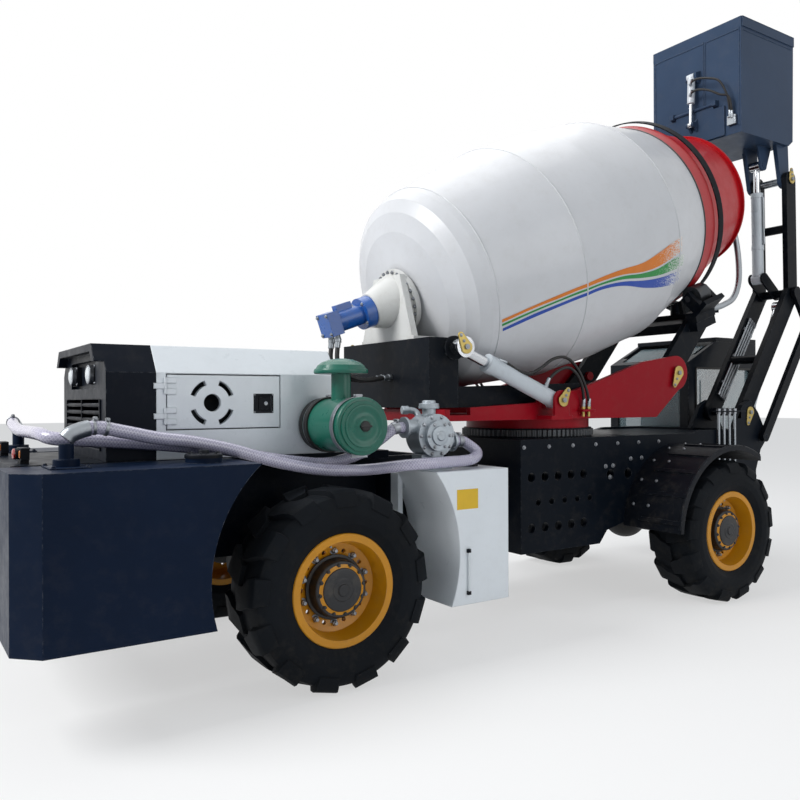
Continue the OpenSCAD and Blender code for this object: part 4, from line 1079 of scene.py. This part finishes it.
grille = Shape()
for k in range(6):
    z = 1300 + 40 * k + 24
    grille.box(V(-1106, -430, z), V(-1100, 430, z + 12))
for y in (-430, 0, 418):
    grille.box(V(-1108, y, 1290), V(-1100, y + 12, 1560))
grille.make("cowl_grille", "chassis", "plastic", bevel=0.002)
bracket = Shape()
for side in (-1, 1):
    bracket.box(V(-1420, side * 640, 1240), V(-1240, side * 880, 1246))
    for x in (-1405, -1255):
        bracket.bolt(V(x, side * 655, 1246), UP, 0.009, 0.010)
        bracket.bolt(V(x, side * 865, 1246), UP, 0.009, 0.010)
bracket.make("spigot_plates", "chassis", "tank", bevel=0.002)


# Front half: frame bolts, pipes and their bulkhead

frame_bolts = Shape()
for x, z in ((2546, 1044), (2627, 1046), (2594, 960), (2828, 1090), (2955, 1092), (2988, 1011), (2941, 950)):
    for side in (-1, 1):
        frame_bolts.bolt(V(x, side * 550, z), Vector((0, side, 0)), 0.013, 0.014)
for x in (1720, 1960, 2200, 2440, 2680, 2920, 3160):
    for side in (-1, 1):
        frame_bolts.bolt(V(x, side * 550, 1215), Vector((0, side, 0)), 0.011, 0.012)
frame_bolts.make("front_frame_bolts", "front", "bolt")
guard = Shape()
for side in (-1, 1):
    path = []
    for k in range(33):
        a = math.radians(-92 + 122 * k / 32)
        path.append(V(WHEELBASE + 652 * math.sin(a), side * 1070, AXLE_Z + 652 * math.cos(a)))
    guard.tube([p for p in path if p.z > 0.585 and p.x < (3720 - X_MID) / 1000], 0.010, 10)
guard.make("mudguard_beads", "front", "plastic")
guard_bolts = Shape()
for side in (-1, 1):
    for a in (-71, -53, -35, -17, 1):
        t = math.radians(a)
        d = Vector((math.sin(t), 0, math.cos(t)))
        for y in (620, 760):
            guard_bolts.bolt(V(WHEELBASE, side * y, AXLE_Z) + d * 0.650, d, 0.010, 0.010)
guard_bolts.make("mudguard_bolts", "front", "bolt")

pipes, clips = Shape(), Shape()
for x in (3920, 3995, 4070, 4145):
    pipes.tube([V(x, -568, 700), V(x, -568, 900), V(x, -568, 1200), V(x, -568, 1440)], 0.012, 14)
    clips.rod(V(x, -568, 1424), V(x, -568, 1470), 0.020, 6)
    for z in (860, 1130):
        clips.rod(V(x, -568, z - 12), V(x, -568, z + 12), 0.018, 16)
pipes.make("frame_pipes", "front", "steel")
for z in (860, 1130):
    clips.box(V(3890, -550, z - 14), V(4175, -574, z - 4))
clips.make("frame_pipe_clips", "front", "bolt")
head = Shape()
head.box(V(3890, -590, 1440), V(4275, -512, 1450))
head.box(V(4180, -550, 1380), V(4270, -542, 1442))
head.make("pipe_bulkhead", "front", "chassis", bevel=0.002)


# Boom: pipes, cylinder pipe, cylinder collars

ARM_A, ARM_K = V(PIN_A[0], 0, PIN_A[1]), V(PIN_K[0], 0, PIN_K[1])
lower = (ARM_K - ARM_A).normalized()
across = Vector((lower.z, 0, -lower.x))
boom_pipes, boom_clips = Shape(), Shape()
for off in (-0.045, -0.012, 0.021, 0.054):
    a = ARM_A + lower * 0.18 + across * off + Vector((0, -0.1975, 0))
    b = ARM_A + lower * 1.03 + across * off + Vector((0, -0.1975, 0))
    boom_pipes.rod(a, b, 0.0095, 14)
    for t in (0.0, 1.0):
        p = a + (b - a) * t
        boom_clips.rod(p - lower * 0.02, p + lower * 0.02, 0.0145, 6)
for d in (0.30, 0.61, 0.92):
    c = ARM_A + lower * d + Vector((0, -0.1975, 0))
    boom_clips.plate([c + across * u + lower * w for u, w in ((-0.066, -0.014), (0.075, -0.014), (0.075, 0.014),
                                                              (-0.066, 0.014))], Vector((0, 0.0125, 0)))
boom_pipes.make("boom_pipes", "boom", "steel")
boom_clips.make("boom_pipe_clips", "boom", "bolt")

BK_P, BK_Q = V(4980, -268, 2697), V(4960, -268, 3771)
up = (BK_Q - BK_P).normalized()
feed = Shape()
side_off = Vector((0, -0.064, 0))
feed.tube(smooth_path([BK_P + up * 0.33 + Vector((0, -0.046, 0)), BK_P + up * 0.34 + side_off,
                       BK_P + up * 0.45 + side_off, BK_P + up * 0.60 + side_off, BK_P + up * 0.76 + side_off,
                       BK_P + up * 0.78 + Vector((0, -0.046, 0))], 6), 0.009, 12)
feed.make("bucket_cylinder_pipe", "bucket_barrel", "steel")
collars = Shape()
for d in (0.30, 0.796):
    collars.lathe(BK_P + up * d, up, [(-0.022, 0.0505), (-0.022, 0.0555), (0.022, 0.0555), (0.022, 0.0505)], 36)
for d in (0.42, 0.64):
    collars.lathe(BK_P + up * d, up, [(-0.008, 0.0504), (-0.008, 0.0522), (0.008, 0.0522), (0.008, 0.0504)], 36)
collars.make("bucket_cylinder_collars", "bucket_barrel", "white", bevel=0.0015)
LIFT_C = V(PIN_C[0], -395, PIN_C[1])
LIFT_D = ARM_A + lower * 1.2 + Vector((0, -0.395, 0))
climb = (LIFT_D - LIFT_C).normalized()
lift_bits = Shape()
for d in (0.775, 0.10):
    lift_bits.lathe(LIFT_C + climb * d, climb, [(-0.024, 0.0482), (-0.024, 0.0535), (0.024, 0.0535),
                                                (0.024, 0.0482)], 36)
lift_bits.make("lift_cylinder_collars", "lift_barrel", "white", bevel=0.0015)


# Water feed pipe to the drum's mouth

feed_pipe = Shape()
feed_pipe.tube(smooth_path([V(3880, -505, 2330), V(3990, -500, 2345), V(4120, -490, 2380), V(4290, -462, 2450),
                            V(4430, -420, 2590), V(4500, -380, 2780), V(4520, -340, 3000), V(4500, -300, 3180),
                            V(4430, -250, 3300), V(4330, -200, 3340)], 8), 0.026, 18)
feed_pipe.make("water_feed_pipe", "cradle", "steel")
Shape().box(V(3850, -530, 2300), V(3930, -475, 2360)).make("water_feed_clamp", "cradle", "cradle", bevel=0.004)


# Bucket: pressed panel beads

beads = Shape()
for route in ([(4399, 455, 4010), (4399, 455, 4500), (4399, 455, 4850), (4399, 430, 4880), (4399, 100, 4880),
               (4399, -70, 4880), (4399, -92, 4858), (4399, -92, 4500), (4399, -92, 4280)],
              [(4399, -112, 4280), (4399, -112, 4500), (4399, -112, 4858), (4399, -134, 4880), (4399, -300, 4880),
               (4399, -440, 4880), (4399, -460, 4860), (4399, -460, 4500), (4399, -460, 4010)]):
    beads.tube(smooth_path([V(*p) for p in route], 5), 0.0055, 10)
for side in (-1, 1):
    y = side * 480
    beads.tube([V(4440, y, 4870), V(4700, y, 4870), V(5200, y, 4870)], 0.005, 10)
beads.make("bucket_beads", "bucket", "bucket")
lip = Shape()
for side in (-1, 1):
    lip.tube([V(4412, side * 489, 4986), V(4800, side * 489, 4986), V(5224, side * 489, 4986)], 0.004, 10)
lip.make("bucket_lip_weld", "bucket", "bucket")


# Cab: wiper, handle, window seal, seat

cab_bits = Shape()
cab_bits.rod(V(5402, 505, 985), V(5412, 505, 985), 0.022, 20)
cab_bits.rod(V(5412, 505, 985), V(5412, 690, 1480), 0.007, 10)
cab_bits.rod(V(5408, 690, 1180), V(5408, 690, 1760), 0.009, 10)
cab_bits.make("cab_wiper", "front", "plastic")
handle = Shape()
handle.tube(smooth_path([V(4470, 972, 1055), V(4472, 984, 1055), V(4490, 990, 1055), V(4515, 990, 1055),
                         V(4532, 984, 1055), V(4534, 972, 1055)], 5), 0.007, 12)
handle.make("cab_door_handle", "cab_door", "steel")
seals = Shape()
for z in (1250, 1850):
    seals.rod(V(4430, 28, z), V(5300, 28, z), 0.010, 10)
for x in (4430, 5300):
    seals.rod(V(x, 28, 1250), V(x, 28, 1850), 0.010, 10)
seals.make("cab_window_seal", "front", "hose")


def cushion(name, lo, hi, crown, channels, along):
    """A stuffed pad: crowned faces, pulled-in corners and sewn channels across one axis."""
    n = 22
    a, b = V(*lo), V(*hi)
    mid = (a + b) / 2
    half = (b - a) / 2
    mesh = bpy.data.meshes.new(name)
    bm = bmesh.new()
    bmesh.ops.create_cube(bm, size=2.0)
    bmesh.ops.subdivide_edges(bm, edges=bm.edges[:], cuts=n, use_grid_fill=True)
    for v in bm.verts:
        p = v.co.copy()
        power = 5.0
        norm = (abs(p.x) ** power + abs(p.y) ** power + abs(p.z) ** power) ** (1 / power)
        p = p / norm
        swell = 1.0 - crown
        for i in range(3):
            j, k = (i + 1) % 3, (i + 2) % 3
            p[i] *= swell + crown * (1 - 0.5 * p[j] ** 2 - 0.5 * p[k] ** 2)
        groove = min(abs(p[along] - c) for c in channels)
        dent = 0.05 * math.exp(-(groove / 0.05) ** 2)
        q = p * (1.0 - dent)
        q[along] = p[along]
        v.co = Vector((mid.x + q.x * half.x, mid.y + q.y * half.y, mid.z + q.z * half.z))
    bm.to_mesh(mesh)
    bm.free()
    mesh.shade_smooth()
    mesh.materials.append(M["vinyl"])
    obj = bpy.data.objects.new(name, mesh)
    bpy.context.scene.collection.objects.link(obj)
    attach(obj, "front")
    return obj


pedestal = Shape()
pedestal.box(V(4600, 370, 592), V(4880, 640, 640))
pedestal.lathe(V(4740, 505, 640), UP, [(0, 0.10), (0.03, 0.095), (0.10, 0.088), (0.17, 0.095), (0.20, 0.12)], 30)
pedestal.box(V(4570, 340, 836), V(4900, 670, 856))
pedestal.box(V(4440, 470, 846), V(4575, 540, 862))
pedestal.box(V(4430, 470, 852), V(4452, 540, 1100))
stand = pedestal.make("seat_pedestal", "front", "plastic", bevel=0.006)
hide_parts("cab_seat")
cushion("seat_cushion", (4525, 272, 856), (4980, 738, 980), 0.10, [-0.45, 0.0, 0.45], 1)
cushion("seat_back", (4440, 290, 960), (4560, 720, 1555), 0.10, [-0.5, 0.0, 0.5], 2)
